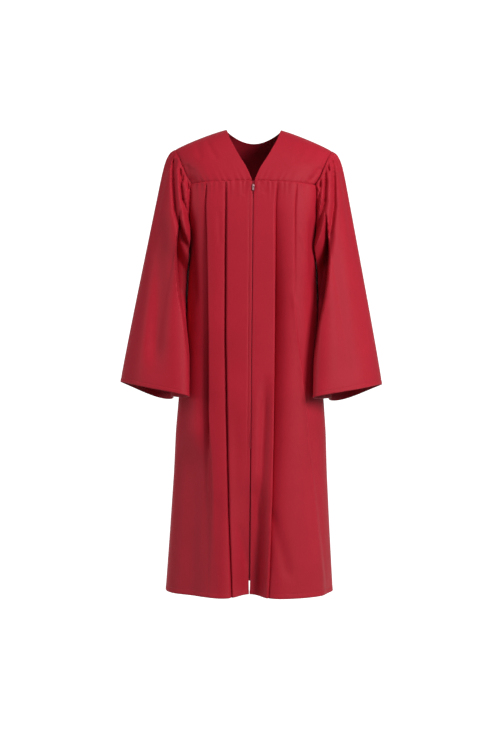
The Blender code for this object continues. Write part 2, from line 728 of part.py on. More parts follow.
def main():
    clear_scene()
    cloth = finish_material("crimson_polyester", CRIMSON, 0.75, 0.0)
    tape = finish_material("zip_tape_cloth", CRIMSON, 0.8, 0.0)
    metal = finish_material("zip_metal", METAL, 0.35, 0.8)
    for side in ("right", "left"):
        make_front(side, cloth)
        make_front_yoke(side, cloth)
        make_sleeve(side, cloth)
        make_tape(side, tape)
    make_back(cloth)
    make_back_yoke(cloth)
    make_slider(metal)
    make_pull(metal)
    make_stop(metal)


main()
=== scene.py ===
"""The looks of a choir robe: crimson cloth in fine folds, seams, hems, stitching and a zip.

Metres, +Z up. The front faces -Y and left and right are the wearer's, so left is +X.
"""

import logging
import math
from dataclasses import dataclass, field
from enum import Enum

import bpy
import numpy as np
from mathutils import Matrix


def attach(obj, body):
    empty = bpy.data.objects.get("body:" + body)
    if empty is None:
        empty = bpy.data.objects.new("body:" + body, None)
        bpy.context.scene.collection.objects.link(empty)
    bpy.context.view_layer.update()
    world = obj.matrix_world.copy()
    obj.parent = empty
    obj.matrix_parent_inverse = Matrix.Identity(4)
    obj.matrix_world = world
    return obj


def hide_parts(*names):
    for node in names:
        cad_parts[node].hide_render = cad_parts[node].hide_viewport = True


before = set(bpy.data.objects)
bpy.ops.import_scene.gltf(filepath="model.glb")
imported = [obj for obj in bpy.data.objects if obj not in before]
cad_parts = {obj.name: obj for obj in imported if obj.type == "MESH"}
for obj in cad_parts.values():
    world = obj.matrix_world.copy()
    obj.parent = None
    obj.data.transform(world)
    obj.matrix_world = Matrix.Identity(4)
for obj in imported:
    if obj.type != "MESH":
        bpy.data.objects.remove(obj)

Array = np.ndarray
Colour = tuple[float, float, float]
ROBE = "robe"
MIRROR = np.array([-1, 1, 1])
LOG = logging.getLogger("choir_robe")


class Side(Enum):
    """The wearer's side of a piece. The value is its sign along X."""

    RIGHT = -1
    LEFT = 1

    @property
    def word(self) -> str:
        """The side's name, as in the pieces' names."""
        return self.name.lower()


class Panel(Enum):
    """Which of the robe's pleated panels is meant. The value is its word in the names."""

    FRONT_RIGHT = "right"
    FRONT_LEFT = "left"
    BACK = "back"


def table(*rows: tuple[float, ...]) -> Array:
    """A short table of sizes, one row for each section or fold."""
    return np.array(rows, dtype=float)


def read(rows: Array, at: Array, column: int) -> Array:
    """Reads one column of a table at any height, straight between its rows.

    Args:
        rows: the table, whose first column is a height or a share.
        at: where to read it.
        column: which column to read.

    Returns:
        The column's values, in the shape of at.
    """
    order = np.argsort(rows[:, 0])
    places, values = rows[order, 0], rows[order, column]
    return np.interp(at, places, values)


def read_smooth(rows: Array, at: Array, column: int) -> Array:
    """Reads a table as read does, rounded off by the mean of four readings: one above, one
    below and two at the place itself.

    Args:
        rows: the table, whose first column is a height.
        at: where to read it.
        column: which column to read.

    Returns:
        The column's values, in the shape of at.
    """
    reach = 0.012
    near = read(rows, at - reach, column) + read(rows, at + reach, column)
    return (near + 2.0 * read(rows, at, column)) / 4.0


def smooth(share: Array) -> Array:
    """The smooth step 3s^2 - 2s^3, held at 0 and 1 outside its range."""
    share = np.clip(share, 0.0, 1.0)
    return share * share * (3.0 - 2.0 * share)


def unit(vectors: Array) -> Array:
    """Vectors along the last axis, each divided by its length. One of no length stays so."""
    return vectors / np.maximum(np.linalg.norm(vectors, axis=-1, keepdims=True), 1e-12)


def grid_normals(grid: Array, around: bool = False) -> Array:
    """Unit normals of a grid, from the cross product of its two directions.

    Args:
        grid: points, rows by columns by three.
        around: whether the last column joins the first.

    Returns:
        One normal for each point.
    """
    if around:
        wide = np.concatenate([grid[:, -1:], grid, grid[:, :1]], axis=1)
        along = np.gradient(wide, axis=1)[:, 1:-1]
    else:
        along = np.gradient(grid, axis=1)
    return unit(np.cross(along, np.gradient(grid, axis=0)))


def outward_normals(grid: Array, around: bool = False) -> Array:
    """Grid normals, turned to face away from the sleeve's or the robe's own middle.

    Args:
        grid: points, rows by columns by three.
        around: whether the last column joins the first.

    Returns:
        One unit normal for each point.
    """
    normal = grid_normals(grid, around)
    centre = grid.mean(axis=1, keepdims=True) if around else grid * np.array([0.0, 0.0, 1.0])
    return normal if np.sum(normal * (grid - centre)) > 0 else -normal


def subdivided(counts: list[int]) -> Array:
    """Column codes: whole numbers at the anchors, with this many steps between them."""
    codes = [np.arange(count) / count + place for place, count in enumerate(counts)]
    return np.append(np.concatenate(codes), len(counts))


def mesh_piece(name: str, points: Array, faces: Array, sharp: float = 50.0) -> bpy.types.Object:
    """Puts points and faces of one size into a new object at the origin.

    Args:
        name: the piece's name.
        points: its corners, one row each.
        faces: corner numbers, one row for each face.
        sharp: angle in degrees past which an edge is shaded sharp.

    Returns:
        The new object.
    """
    mesh = bpy.data.meshes.new(name)
    count, size = faces.shape
    mesh.vertices.add(len(points))
    mesh.vertices.foreach_set("co", np.ascontiguousarray(points, np.float32).ravel())
    mesh.loops.add(count * size)
    mesh.loops.foreach_set("vertex_index", np.ascontiguousarray(faces, np.int32).ravel())
    mesh.polygons.add(count)
    mesh.polygons.foreach_set("loop_start", np.arange(count, dtype=np.int32) * size)
    mesh.update(calc_edges=True)
    mesh.validate()
    mesh.shade_smooth()
    mesh.set_sharp_from_angle(angle=math.radians(sharp))
    piece = bpy.data.objects.new(name, mesh)
    bpy.context.scene.collection.objects.link(piece)
    return piece


def cells(index: Array) -> Array:
    """The four corners of every cell of a grid of corner numbers."""
    return np.stack([index[:-1, :-1], index[1:, :-1], index[1:, 1:], index[:-1, 1:]], -1)


@dataclass(frozen=True)
class ClothWall:
    """Turns a sheet's middle surface into a thin closed cloth with rounded raw edges."""

    thick: float = 0.0011
    # How far the middle of a raw edge stands out, as a share of the thickness
    roll: float = 0.45

    def build(
        self, name: str, grid: Array, around: bool = False, extra: Array | float = 0.0
    ) -> bpy.types.Object:
        """Builds the cloth: each side is the grid moved out by half the thickness.

        Args:
            name: the piece's name.
            grid: middle points, rows by columns by three.
            around: whether the last column joins the first.
            extra: added thickness at each point, as where a hem is turned up.

        Returns:
            The new object, with a UV map in metres along the cloth.
        """
        normal = outward_normals(grid, around)
        if np.sum(normal * grid_normals(grid, around)) < 0:
            grid, normal = grid[:, ::-1], normal[:, ::-1]
            extra = extra[:, ::-1] if isinstance(extra, np.ndarray) else extra
        half = (self.thick + np.zeros(grid.shape[:2]) + extra)[..., None] / 2.0
        middle = grid + self.edge_directions(grid, around) * half * 2.0 * self.roll
        points = np.concatenate([grid + normal * half, grid - normal * half, middle])
        points = points.reshape(-1, 3)
        faces = self.faces(*grid.shape[:2], around)
        used = np.unique(faces)
        new_place = np.zeros(len(points), dtype=int)
        new_place[used] = np.arange(len(used))
        piece = mesh_piece(name, points[used], new_place[faces])
        self.lay_out(piece, grid, used, around)
        return piece

    @staticmethod
    def edge_directions(grid: Array, around: bool) -> Array:
        """Unit directions along the cloth and out of its raw edges, nought elsewhere.

        Args:
            grid: points, rows by columns by three.
            around: whether the last column joins the first.

        Returns:
            One direction for each point.
        """
        away = np.zeros_like(grid)
        away[0] += unit(grid[0] - grid[1])
        away[-1] += unit(grid[-1] - grid[-2])
        if not around:
            away[:, 0] += unit(grid[:, 0] - grid[:, 1])
            away[:, -1] += unit(grid[:, -1] - grid[:, -2])
        return unit(away)

    @staticmethod
    def faces(rows: int, columns: int, around: bool) -> Array:
        """The cells of both sides, and two strips round each raw edge by way of its middle.

        Args:
            rows: points down.
            columns: points across.
            around: whether the last column joins the first.

        Returns:
            The faces, numbered on through the outer side, the inner side and the middle.
        """
        size = rows * columns
        index = np.arange(size).reshape(rows, columns)
        if around:
            index = np.concatenate([index, index[:, :1]], axis=1)
            loops = [index[0], index[-1, ::-1]]
        else:
            edges = (index[0, :-1], index[:-1, -1], index[-1, :0:-1], index[:0:-1, 0])
            loops = [np.concatenate([*edges, index[:1, 0]])]
        outer = cells(index).reshape(-1, 4)
        faces = [outer[:, ::-1], outer + size]
        for loop in loops:
            first, second = loop[:-1], loop[1:]
            for near, far in ((0, 2 * size), (2 * size, size)):
                strip = (second + near, first + near, first + far, second + far)
                faces.append(np.stack(strip, -1))
        return np.concatenate(faces)

    @staticmethod
    def lay_out(piece: bpy.types.Object, grid: Array, used: Array, around: bool) -> None:
        """Gives a cloth its UV map: the mean lengths across and down its grid, in metres.

        Args:
            piece: the cloth.
            grid: its middle points.
            used: the number that each of its corners has among all the points.
            around: whether the last column joins the first.
        """
        closed = np.concatenate([grid, grid[:, :1]], axis=1) if around else grid
        step = np.linalg.norm(np.diff(closed, axis=1), axis=2)
        across = np.concatenate([[0.0], np.cumsum(step.mean(axis=0))])
        down = np.linalg.norm(np.diff(grid, axis=0), axis=2)
        along = np.concatenate([[0.0], np.cumsum(down.mean(axis=1))])
        corner = np.zeros(len(piece.data.loops), dtype=np.int32)
        piece.data.loops.foreach_get("vertex_index", corner)
        rows, columns = grid.shape[:2]
        flat = used[corner] % (rows * columns)
        u, v = across[flat % columns], along[flat // columns]
        if around:
            # A face that closes the tube reads the last column's far side
            whole = across[-1]
            face_u = u.reshape(-1, 4)
            wraps = (face_u.max(axis=1) - face_u.min(axis=1)) > whole / 2
            face_u[wraps] += np.where(face_u[wraps] < whole / 2, whole, 0.0)
            u = face_u.ravel()
        layer = piece.data.uv_layers.new(name="cloth")
        layer.data.foreach_set("uv", np.stack([u, v], -1).astype(np.float32).ravel())


class Surface:
    """A new material round one shader, with short ways to add nodes and to join them."""

    def __init__(self, name: str, values: dict[str, object]) -> None:
        """Makes the material and sets its shader's inputs.

        Args:
            name: the material's name.
            values: what each of the shader's inputs is set to.
        """
        self.material = bpy.data.materials.new(name)
        self.material.use_nodes = True
        self.tree = self.material.node_tree
        self.shader = self.tree.nodes["Principled BSDF"]
        self.fill(self.shader, values)

    @staticmethod
    def fill(node: bpy.types.Node, values: dict[str, object]) -> None:
        """Sets a node's inputs by their names."""
        for key, value in values.items():
            node.inputs[key].default_value = value

    def add(self, kind: str, values: dict[str, object] | None = None) -> bpy.types.Node:
        """Adds a node.

        Args:
            kind: its type, without the word that all of them start with.
            values: what its inputs are set to.

        Returns:
            The new node.
        """
        node = self.tree.nodes.new("ShaderNode" + kind)
        self.fill(node, values or {})
        return node

    def join(self, source: bpy.types.Node, out: str, to: bpy.types.Node, into: str | int) -> None:
        """Joins one node's output to another node's input."""
        self.tree.links.new(source.outputs[out], to.inputs[into])

    def noise(self, place: bpy.types.Node, out: str, values: dict[str, object]) -> bpy.types.Node:
        """Adds a noise that reads its place from another node's output.

        Args:
            place: the node that gives the place.
            out: its output.
            values: what the noise's inputs are set to.

        Returns:
            The noise.
        """
        noise = self.add("TexNoise", values)
        self.join(place, out, noise, "Vector")
        return noise

    def colour(self, source: bpy.types.Node, out: str, ends: tuple[Colour, Colour],
               places: tuple[float, float] = (0.0, 1.0)) -> None:
        """Colours the shader by a ramp between two colours.

        Args:
            source: the node that drives the ramp.
            out: its output.
            ends: the ramp's two colours.
            places: where on the ramp they stand.
        """
        ramp = self.add("ValToRGB")
        for element, colour, place in zip(ramp.color_ramp.elements, ends, places):
            element.position, element.color = place, (*colour, 1.0)
        self.join(source, out, ramp, "Fac")
        self.join(ramp, "Color", self.shader, "Base Color")

    def bump(self, source: bpy.types.Node, out: str, strength: float, distance: float) -> None:
        """Roughens the shader's surface by a node's output.

        Args:
            source: the node that gives the height.
            out: its output.
            strength: how much of the bump shows.
            distance: the height in metres.
        """
        bump = self.add("Bump", {"Strength": strength, "Distance": distance})
        self.join(source, out, bump, "Height")
        self.join(bump, "Normal", self.shader, "Normal")


@dataclass(frozen=True)
class ClothFinish:
    """Matte woven polyester: a fine weave, a faint bloom of paler fibre and soft mottling."""

    name: str = "robe_cloth"
    deep: Colour = (0.400, 0.0095, 0.0240)
    pale: Colour = (0.470, 0.0125, 0.0310)
    # Where the two colours stand on the ramp that the mottling drives
    ramp: tuple[float, float] = (0.40, 0.92)
    roughness: float = 0.62
    specular: float = 0.18
    sheen: float = 0.02
    sheen_roughness: float = 0.45
    sheen_tint: Colour = (1.0, 0.55, 0.60)
    # The weave's waves repeat every 3.3 mm at this scale
    weave_scale: float = 94.49825
    weave_wander: float = 0.6
    weave_depth: float = 0.10
    weave_height: float = 0.0003
    mottle_scale: float = 7.0
    # Slubs are drawn out along the threads, and add this much to the dye and the bump
    slub_scale: float = 420.0
    slub_stretch: tuple[float, float, float] = (1.0, 0.16, 1.0)
    slub_in_dye: float = 0.35
    slub_in_bump: float = 0.5

    def material(self) -> bpy.types.Material:
        """Builds the material: two crossed thread waves on the cloth's own UV map and a
        drawn-out noise give the bump, and that noise and a broad one mottle the dye.

        Returns:
            The material.
        """
        surface = Surface(self.name, {
            "Roughness": self.roughness,
            "Specular IOR Level": self.specular,
            "Sheen Weight": self.sheen,
            "Sheen Roughness": self.sheen_roughness,
            "Sheen Tint": (*self.sheen_tint, 1.0),
        })
        uv = surface.add("UVMap")
        uv.uv_map = "cloth"
        weave = surface.add("Math")
        weave.operation = "MULTIPLY"
        for place, direction in enumerate(("X", "Y")):
            wave = surface.add("TexWave", {
                "Scale": self.weave_scale, "Distortion": self.weave_wander, "Detail": 1.0,
            })
            wave.wave_type = "BANDS"
            wave.bands_direction = direction
            surface.join(uv, "UV", wave, "Vector")
            surface.join(wave, "Fac", weave, place)
        mottle = surface.noise(surface.add("TexCoord"), "Object", {
            "Scale": self.mottle_scale, "Detail": 5.0, "Roughness": 0.62,
        })
        stretch = surface.add("Mapping", {"Scale": self.slub_stretch})
        surface.join(uv, "UV", stretch, "Vector")
        slub = surface.noise(stretch, "Vector", {"Scale": self.slub_scale, "Detail": 2.0})
        mixes = []
        for share, base, out in (
            (self.slub_in_dye, mottle, "Fac"), (self.slub_in_bump, weave, "Value")
        ):
            mix = surface.add("Math")
            mix.operation = "MULTIPLY_ADD"
            mix.inputs[1].default_value = share
            surface.join(slub, "Fac", mix, 0)
            surface.join(base, out, mix, 2)
            mixes.append(mix)
        dye, height = mixes
        surface.colour(dye, "Value", (self.deep, self.pale), self.ramp)
        surface.bump(height, "Value", self.weave_depth, self.weave_height)
        return surface.material


@dataclass(frozen=True)
class ThreadFinish:
    """Sewing thread, a shade deeper than the cloth, with a faint twist in its bump."""

    name: str = "robe_thread"
    colour: Colour = (0.30, 0.010, 0.022)
    roughness: float = 0.55
    twist_scale: float = 900.0
    twist_depth: float = 0.3
    twist_height: float = 0.0002

    def material(self) -> bpy.types.Material:
        """Builds the material, with fine noise for the twist.

        Returns:
            The material.
        """
        surface = Surface(self.name, {
            "Base Color": (*self.colour, 1.0), "Roughness": self.roughness,
        })
        twist = surface.noise(surface.add("TexCoord"), "Object", {"Scale": self.twist_scale})
        surface.bump(twist, "Fac", self.twist_depth, self.twist_height)
        return surface.material


@dataclass(frozen=True)
class MetalFinish:
    """The zip's small metal pieces: a dull pinkish plating, scuffed by handling."""

    name: str = "zip_metal"
    dull: Colour = (0.36, 0.17, 0.19)
    bright: Colour = (0.58, 0.34, 0.36)
    metallic: float = 0.75
    scuff_scale: float = 700.0
    roughness: tuple[float, float] = (0.30, 0.50)

    def material(self) -> bpy.types.Material:
        """Builds the material: one noise drives the plating's colour and its roughness.

        Returns:
            The material.
        """
        surface = Surface(self.name, {"Metallic": self.metallic})
        scuff = surface.noise(surface.add("TexCoord"), "Object", {
            "Scale": self.scuff_scale, "Detail": 3.0,
        })
        surface.colour(scuff, "Fac", (self.dull, self.bright))
        least, most = self.roughness
        rough = surface.add("MapRange", {"To Min": least, "To Max": most})
        surface.join(scuff, "Fac", rough, "Value")
        surface.join(rough, "Result", surface.shader, "Roughness")
        return surface.material


@dataclass(frozen=True)
class Cut:
    """Sizes that every piece of the robe shares, in metres."""

    seam_gap: float = 0.0005
    pleat_half_width: float = 0.0052
    neck_half_width: float = 0.0677
    back_neck_depth: float = 0.054
    shoulder_tip_z: float = -0.050
    shoulder_hollow: float = 0.35
    yoke_seam_z: float = -0.1385
    yoke_seam_drop: float = 0.0050
    yoke_half_width: float = 0.1490
    v_point_half_gap: float = 0.0035
    underarm_z: float = -0.285
    armhole_half_depth: float = 0.085
    fit_fade: float = 0.044
    hem_z: float = -1.132
    hem_rise: float = 0.005
    hem_rise_width: float = 0.035
    # Distance of the hem's stitches from its edge
    hem_depth: float = 0.0105
    # What the turned-up hem adds to the thickness, and the step over which it does
    hem_turn_up: float = 0.0007
    hem_step: float = 0.002
    # How far a hem's stitches draw the cloth in, and over what half width
    stitch_press: float = 0.0004
    stitch_width: float = 0.0016
    # How far a sewn seam draws the cloth in, and how fast that fades from it
    seam_roll: float = 0.0013
    seam_roll_fade: float = 0.0018
    # How far a pleat's recess runs out from its line
    recess_length: float = 0.024
    hollow_width: float = 0.034
    # The folds fade out over this share of the last interval before the side seam
    flat_at_seam: float = 0.6
    # Columns: height, half width, front depth, back depth, squareness
    rings: Array = field(default_factory=lambda: table(
        (-0.130, 0.156, 0.124, 0.104, 3.6),
        (-0.200, 0.156, 0.130, 0.108, 3.8),
        (-0.285, 0.155, 0.131, 0.110, 3.6),
        (-0.374, 0.1575, 0.131, 0.113, 3.2),
        (-0.431, 0.1606, 0.133, 0.116, 3.0),
        (-0.560, 0.170, 0.140, 0.125, 2.7),
        (-0.740, 0.1841, 0.152, 0.140, 2.5),
        (-0.843, 0.188, 0.157, 0.148, 2.4),
        (-1.000, 0.197, 0.163, 0.160, 2.3),
        (-1.140, 0.206, 0.168, 0.170, 2.2),
    ))
    # Columns: height, distance of the sleeve seam from the middle
    armhole_path: Array = field(default_factory=lambda: table(
        (-0.0500, 0.1930),
        (-0.0790, 0.1790),
        (-0.0985, 0.1713),
        (-0.1245, 0.1607),
        (-0.1435, 0.1490),
        (-0.1530, 0.1510),
        (-0.1850, 0.1520),
        (-0.2850, 0.1530),
    ))
    # Columns: height, distance of the front edge from the middle
    zip_edge: Array = field(default_factory=lambda: table(
        (-0.130, 0.0035),
        (-0.147, 0.0034),
        (-0.163, 0.0034),
        (-0.172, 0.0014),
        (-0.780, 0.0014),
        (-0.900, 0.0018),
        (-1.090, 0.0022),
        (-1.140, 0.0012),
    ))

    def ring_sizes(self, z: Array, front: bool) -> tuple[Array, Array, Array]:
        """Half width, depth and squareness of the body's ring at a height."""
        depth = read_smooth(self.rings, z, 2 if front else 3)
        return read_smooth(self.rings, z, 1), depth, read_smooth(self.rings, z, 4)

    def ring_angle(self, across: Array, z: Array, front: bool) -> Array:
        """Angle round a ring at which it lies this far across: arcsin((x/a)^(n/2))."""
        half_width, _, square = self.ring_sizes(z, front)
        return np.arcsin(np.clip(across / half_width, 0.0, 1.0) ** (square / 2.0))

    def ring_point(
        self, angle: Array, z: Array, front: bool
    ) -> tuple[Array, Array, Array, Array]:
        """Across, depth and outward direction on a squared ellipse |x/a|^n + |y/b|^n = 1.

        Args:
            angle: angle from the middle of the front or back, in radians.
            z: height.
            front: whether the point lies on the front.

        Returns:
            Across, depth, and the direction's share across and in depth.
        """
        half_width, depth, square = self.ring_sizes(z, front)
        along = np.clip(np.sin(angle), 1e-9, 1.0) ** (2.0 / square)
        deep = np.clip(np.cos(angle), 1e-9, 1.0) ** (2.0 / square)
        slope_x = along ** (square - 1.0) / half_width
        slope_y = deep ** (square - 1.0) / depth
        size = np.hypot(slope_x, slope_y)
        return half_width * along, depth * deep, slope_x / size, slope_y / size

    def armhole_turn(self, z: Array) -> Array:
        """Angle round the armhole, from its top, at a height."""
        share = (self.shoulder_tip_z - z) / (self.shoulder_tip_z - self.underarm_z)
        return np.arccos(1.0 - 2.0 * np.clip(share, 0.0, 1.0))

    def armhole(self, turn: Array) -> tuple[Array, Array, Array]:
        """The sleeve seam: across, depth and height, an oval of depth sin(turn).

        Args:
            turn: angle from the armhole's top, in radians.

        Returns:
            Across, depth and height.
        """
        fall = self.shoulder_tip_z - self.underarm_z
        z = self.shoulder_tip_z - fall * (1.0 - np.cos(turn)) / 2.0
        return read(self.armhole_path, z, 1), self.armhole_half_depth * np.sin(turn), z

    def seam_height(self, share: Array) -> Array:
        """Height of the yoke seam from the middle, 0, to the armhole, 1: h - d * s^1.5."""
        return self.yoke_seam_z - self.yoke_seam_drop * share ** 1.5

    def yoke_turn(self) -> float:
        """How far round the armhole the yoke reaches, down to its seam."""
        return float(self.armhole_turn(self.seam_height(np.array(1.0))))

    def shoulder_point(self, share: Array) -> tuple[Array, Array]:
        """Across and height of the shoulder line. It falls as s - h s(1 - s), a straight
        slope with a slight hollow.

        Args:
            share: share of the way from the neck, 0, to the tip, 1.

        Returns:
            Across and height.
        """
        tip = self.armhole_path[0, 1]
        x = self.neck_half_width + (tip - self.neck_half_width) * share
        hollow = self.shoulder_hollow * share * (1 - share)
        return x, self.shoulder_tip_z * (share - hollow)

    def body_reach(self, y: Array, z: Array) -> Array:
        """How far across the robe's body reaches at a depth and a height.

        Args:
            y: depth, below zero in front.
            z: height.

        Returns:
            The half width a(1 - |y/b|^n)^(1/n) of the ring there.
        """
        reach = np.zeros_like(y)
        for side, is_front in ((y < 0, True), (y >= 0, False)):
            half_width, depth, square = self.ring_sizes(z, is_front)
            inside = np.clip(1 - (np.abs(y) / depth) ** square, 0, 1) ** (1 / square)
            reach = np.where(side, half_width * inside, reach)
        return reach

    def rolled(self, away: Array) -> Array:
        """Inward depth at a distance from a sewn seam: r * exp(-d/f)."""
        return self.seam_roll * np.exp(-away / self.seam_roll_fade)

    def stitched(self, above: Array) -> Array:
        """Inward depth at a height above a hem's stitches: p * exp(-(d/w)^2)."""
        return self.stitch_press * np.exp(-((above / self.stitch_width) ** 2))

    def doubled(self, above: Array) -> Array:
        """Thickness that the turned-up hem adds below its stitches, a smooth step."""
        return self.hem_turn_up * smooth(-above / self.hem_step)


def trough(across: Array, down: Array, rows: Array) -> Array:
    """Depth of soft troughs and ridges laid along straight lines on a panel.

    Each row gives a line's two ends, its depth (below zero for a ridge) and its half width.
    The depth falls off as exp(-(d/w)^2) from the line, and by a smooth step over 0.22 of
    its length, half of it past each end.

    Args:
        across: distance across the panel at each point.
        down: height at each point.
        rows: columns across and height of the first end, of the last end, depth, half width.

    Returns:
        The summed inward depth at each point.
    """
    fade = 0.22
    total = np.zeros_like(across)
    for x0, z0, x1, z1, depth, half_width in rows:
        run = np.array([x1 - x0, z1 - z0])
        length = np.hypot(*run)
        along = ((across - x0) * run[0] + (down - z0) * run[1]) / length ** 2
        off = ((across - x0) * run[1] - (down - z0) * run[0]) / length
        ends = smooth(along / fade + 0.5) * smooth((1 - along) / fade + 0.5)
        total = total + depth * np.exp(-((off / half_width) ** 2)) * ends
    return total


def ripple(at: Array, pitch: float, phase: float) -> Array:
    """An uneven wave sin(t + p + 0.9 sin(0.37 t + 2.1 p)), its pitch swayed by the second."""
    turn = 2 * np.pi * at / pitch
    return np.sin(turn + phase + 0.9 * np.sin(turn * 0.37 + 2.1 * phase))


@dataclass
class PleatedPanel:
    """One of the robe's long panels, fluted by pleats let into the yoke seam."""

    cut: Cut
    panel: Panel
    # Columns: height, inner pleat line, outer pleat line
    lines: Array
    # Columns: height, inner slit, outer slit, inner recess, outer recess, hollow
    depths: Array
    # Columns: across and height of each end, depth, half width
    creases: Array
    # Width over which the outer recess begins. Columns: height, width
    starts: Array
    # Small puckers below the yoke seam: depth, pitch, place along, fade and where they begin
    pucker: float = 0.0011
    pucker_pitch: float = 0.0135
    pucker_phase: float = 5.8
    pucker_fade: float = 0.016
    pucker_start: float = 0.003
    # The folds fade to nothing over this much cloth below the yoke seam
    seam_hold: float = 0.007
    # How sharply a slit's sides turn in to its line
    slit_power: float = 1.6
    # A placket's stitches: how far from the middle, and the height at which they end
    placket: tuple[float, float] = (0.0085, -0.780)
    # Steps between the anchors: the middle edge, five lines round each pleat, the side
    counts: tuple[int, ...] = (24, 5, 6, 6, 5, 16, 5, 6, 6, 5, 40)
    # Share of the first interval beside the zip that gets closer columns, and how many
    close: tuple[float, int] = (0.24, 15)

    @property
    def front(self) -> bool:
        """Whether the panel is one of the fronts."""
        return self.panel is not Panel.BACK

    @property
    def node(self) -> str:
        """The name of the solid that the panel stands for."""
        return f"front_{self.panel.value}" if self.front else "back"

    def middle_edge(self, z: Array) -> Array:
        """Distance of the panel's inner edge from the robe's middle, at a height."""
        return read(self.cut.zip_edge, z, 1) if self.front else np.zeros_like(z)

    def pleat_lines(self, z: Array) -> tuple[Array, Array]:
        """How far across the inner and the outer pleat line lie, at a height."""
        return read_smooth(self.lines, z, 1), read_smooth(self.lines, z, 2)

    def column_angles(self, codes: Array, z: Array) -> Array:
        """Angles round the ring of every column, straight between the anchors.

        Args:
            codes: the columns, in anchors from the middle.
            z: height of each point.

        Returns:
            The angle at each point.
        """
        cut = self.cut
        steps = np.array([-1.0, -0.5, 0.0, 0.5, 1.0]) * cut.pleat_half_width
        across = [self.middle_edge(z)]
        across += [line + step for line in self.pleat_lines(z) for step in steps]
        angles = [cut.ring_angle(place, z, self.front) for place in across]
        _, depth, square = cut.ring_sizes(z, self.front)
        seam_depth = cut.armhole_half_depth * np.sin(cut.armhole_turn(z))
        angles.append(np.arccos(np.clip(seam_depth / depth, 0.0, 1.0) ** (square / 2.0)))
        stack = np.stack(angles)
        lower = np.minimum(codes.astype(int), len(angles) - 2)
        part = codes - lower
        columns = np.arange(len(codes))
        before, after = stack[lower, :, columns].T, stack[lower + 1, :, columns].T
        return before * (1 - part) + after * part

    def codes(self) -> Array:
        """The column codes, with closer ones beside the middle edge for its placket.

        Returns:
            The codes, in anchors from the middle.
        """
        part, steps = self.close
        codes = subdivided(list(self.counts))
        return np.concatenate([np.linspace(0, part, steps, endpoint=False), codes[codes >= part]])

    def shares(self) -> Array:
        """Heights from the yoke seam, 0, to the hem, 1, closer at the seam and the hem.

        Returns:
            The rows' shares.
        """
        head_ends, foot_starts = 0.06, 0.97
        head = head_ends * np.linspace(0, 1, 26) ** 1.3
        body = np.linspace(head_ends, foot_starts, 112)[1:]
        foot = np.linspace(foot_starts, 1.0, 14)[1:]
        return np.concatenate([head, body, foot])

    def folds(self, x: Array, z: Array) -> Array:
        """Inward depth of the pleats and creases.

        The pleats are narrow slits depth * (1 - d/w)^p and one-sided recesses
        depth * exp(-d/l) that run out from a pleat line.

        Args:
            x: distance across at each point.
            z: height of each point.

        Returns:
            The depth at each point.
        """
        cut = self.cut
        inner, outer = self.pleat_lines(z)
        press = trough(x, z, self.creases)
        for column, line in ((1, inner), (2, outer)):
            near = np.clip(1 - np.abs(x - line) / cut.pleat_half_width, 0, 1)
            press += read_smooth(self.depths, z, column) * near ** self.slit_power
        wide = read_smooth(self.starts, z, 1)
        for column, line, start in ((3, inner, cut.pleat_half_width), (4, outer, wide)):
            past = np.exp(-np.maximum(x - line, 0) / cut.recess_length)
            past *= smooth((x - line) / start + 0.5)
            press += read_smooth(self.depths, z, column) * past
        return press

    def half(self, codes: Array, shares: Array) -> tuple[Array, Array]:
        """Half of the panel, from its middle to the armhole and the side seam.

        The ring is pressed inwards along its outward direction by the folds, which fade to
        nothing at the yoke seam, by puckers, by the seam's and the hem's stitches, and by a
        hollow exp(-(x/w)^2) at the hem's middle.

        Args:
            codes: the columns, in anchors from the middle.
            shares: the rows, from the yoke seam to the hem.

        Returns:
            The points, and each one's height above the hem's stitch line.
        """
        cut = self.cut
        level = np.full((1, len(codes)), cut.yoke_seam_z)
        at_seam = cut.ring_point(self.column_angles(codes, level), level, self.front)[0][0]
        top = cut.seam_height(at_seam / at_seam[-1]) - cut.seam_gap
        z = top[None, :] + (cut.hem_z - top[None, :]) * shares[:, None]
        x, y, out_x, out_y = cut.ring_point(self.column_angles(codes, z), z, self.front)
        below = top[None, :] - z
        press = self.folds(x, z) * smooth(below / self.seam_hold)
        puckers = self.pucker * ripple(x, self.pucker_pitch, self.pucker_phase)
        press += puckers * np.exp(-below / self.pucker_fade) * smooth(below / self.pucker_start)
        above = z - cut.hem_z - cut.hem_depth
        press += cut.rolled(below) + cut.stitched(above)
        press *= smooth((codes[-1] - codes) / cut.flat_at_seam)[None, :]
        hollow = read_smooth(self.depths, z, 5) * np.exp(-((x / cut.hollow_width) ** 2))
        fit = read(cut.armhole_path, z, 1) - x[:, -1:]
        fit = fit * smooth(codes - codes[-1] + 1)[None, :]
        under = np.maximum(cut.underarm_z - z, 0)
        fit = fit * np.exp(-under / cut.fit_fade)
        x = np.maximum(x - press * out_x + fit, self.middle_edge(z))
        y = np.maximum(y - press * out_y - hollow, cut.seam_gap / 2)
        rise = cut.hem_rise * np.exp(-((x / cut.hem_rise_width) ** 2)) * shares[:, None] ** 4
        z = z + (rise if self.front else 0.0)
        return np.stack([x, -y if self.front else y, z], axis=2), above

    def grid(self) -> tuple[Array, Array]:
        """The whole panel: a half on its own side, or on the back both halves.

        Returns:
            The points, and each one's height above the hem's stitch line.
        """
        points, above = self.half(self.codes(), self.shares())
        if self.panel is Panel.BACK:
            other = points[:, :0:-1] * MIRROR
            points = np.concatenate([other, points], axis=1)
            above = np.concatenate([above[:, :0:-1], above], axis=1)
        elif self.panel is Panel.FRONT_RIGHT:
            points = points * MIRROR
        return points, above

    def top_edge(self) -> Array:
        """The points of the edge that the yoke is sewn to, from the middle to the armhole."""
        return self.half(self.codes(), np.zeros(1))[0][0]

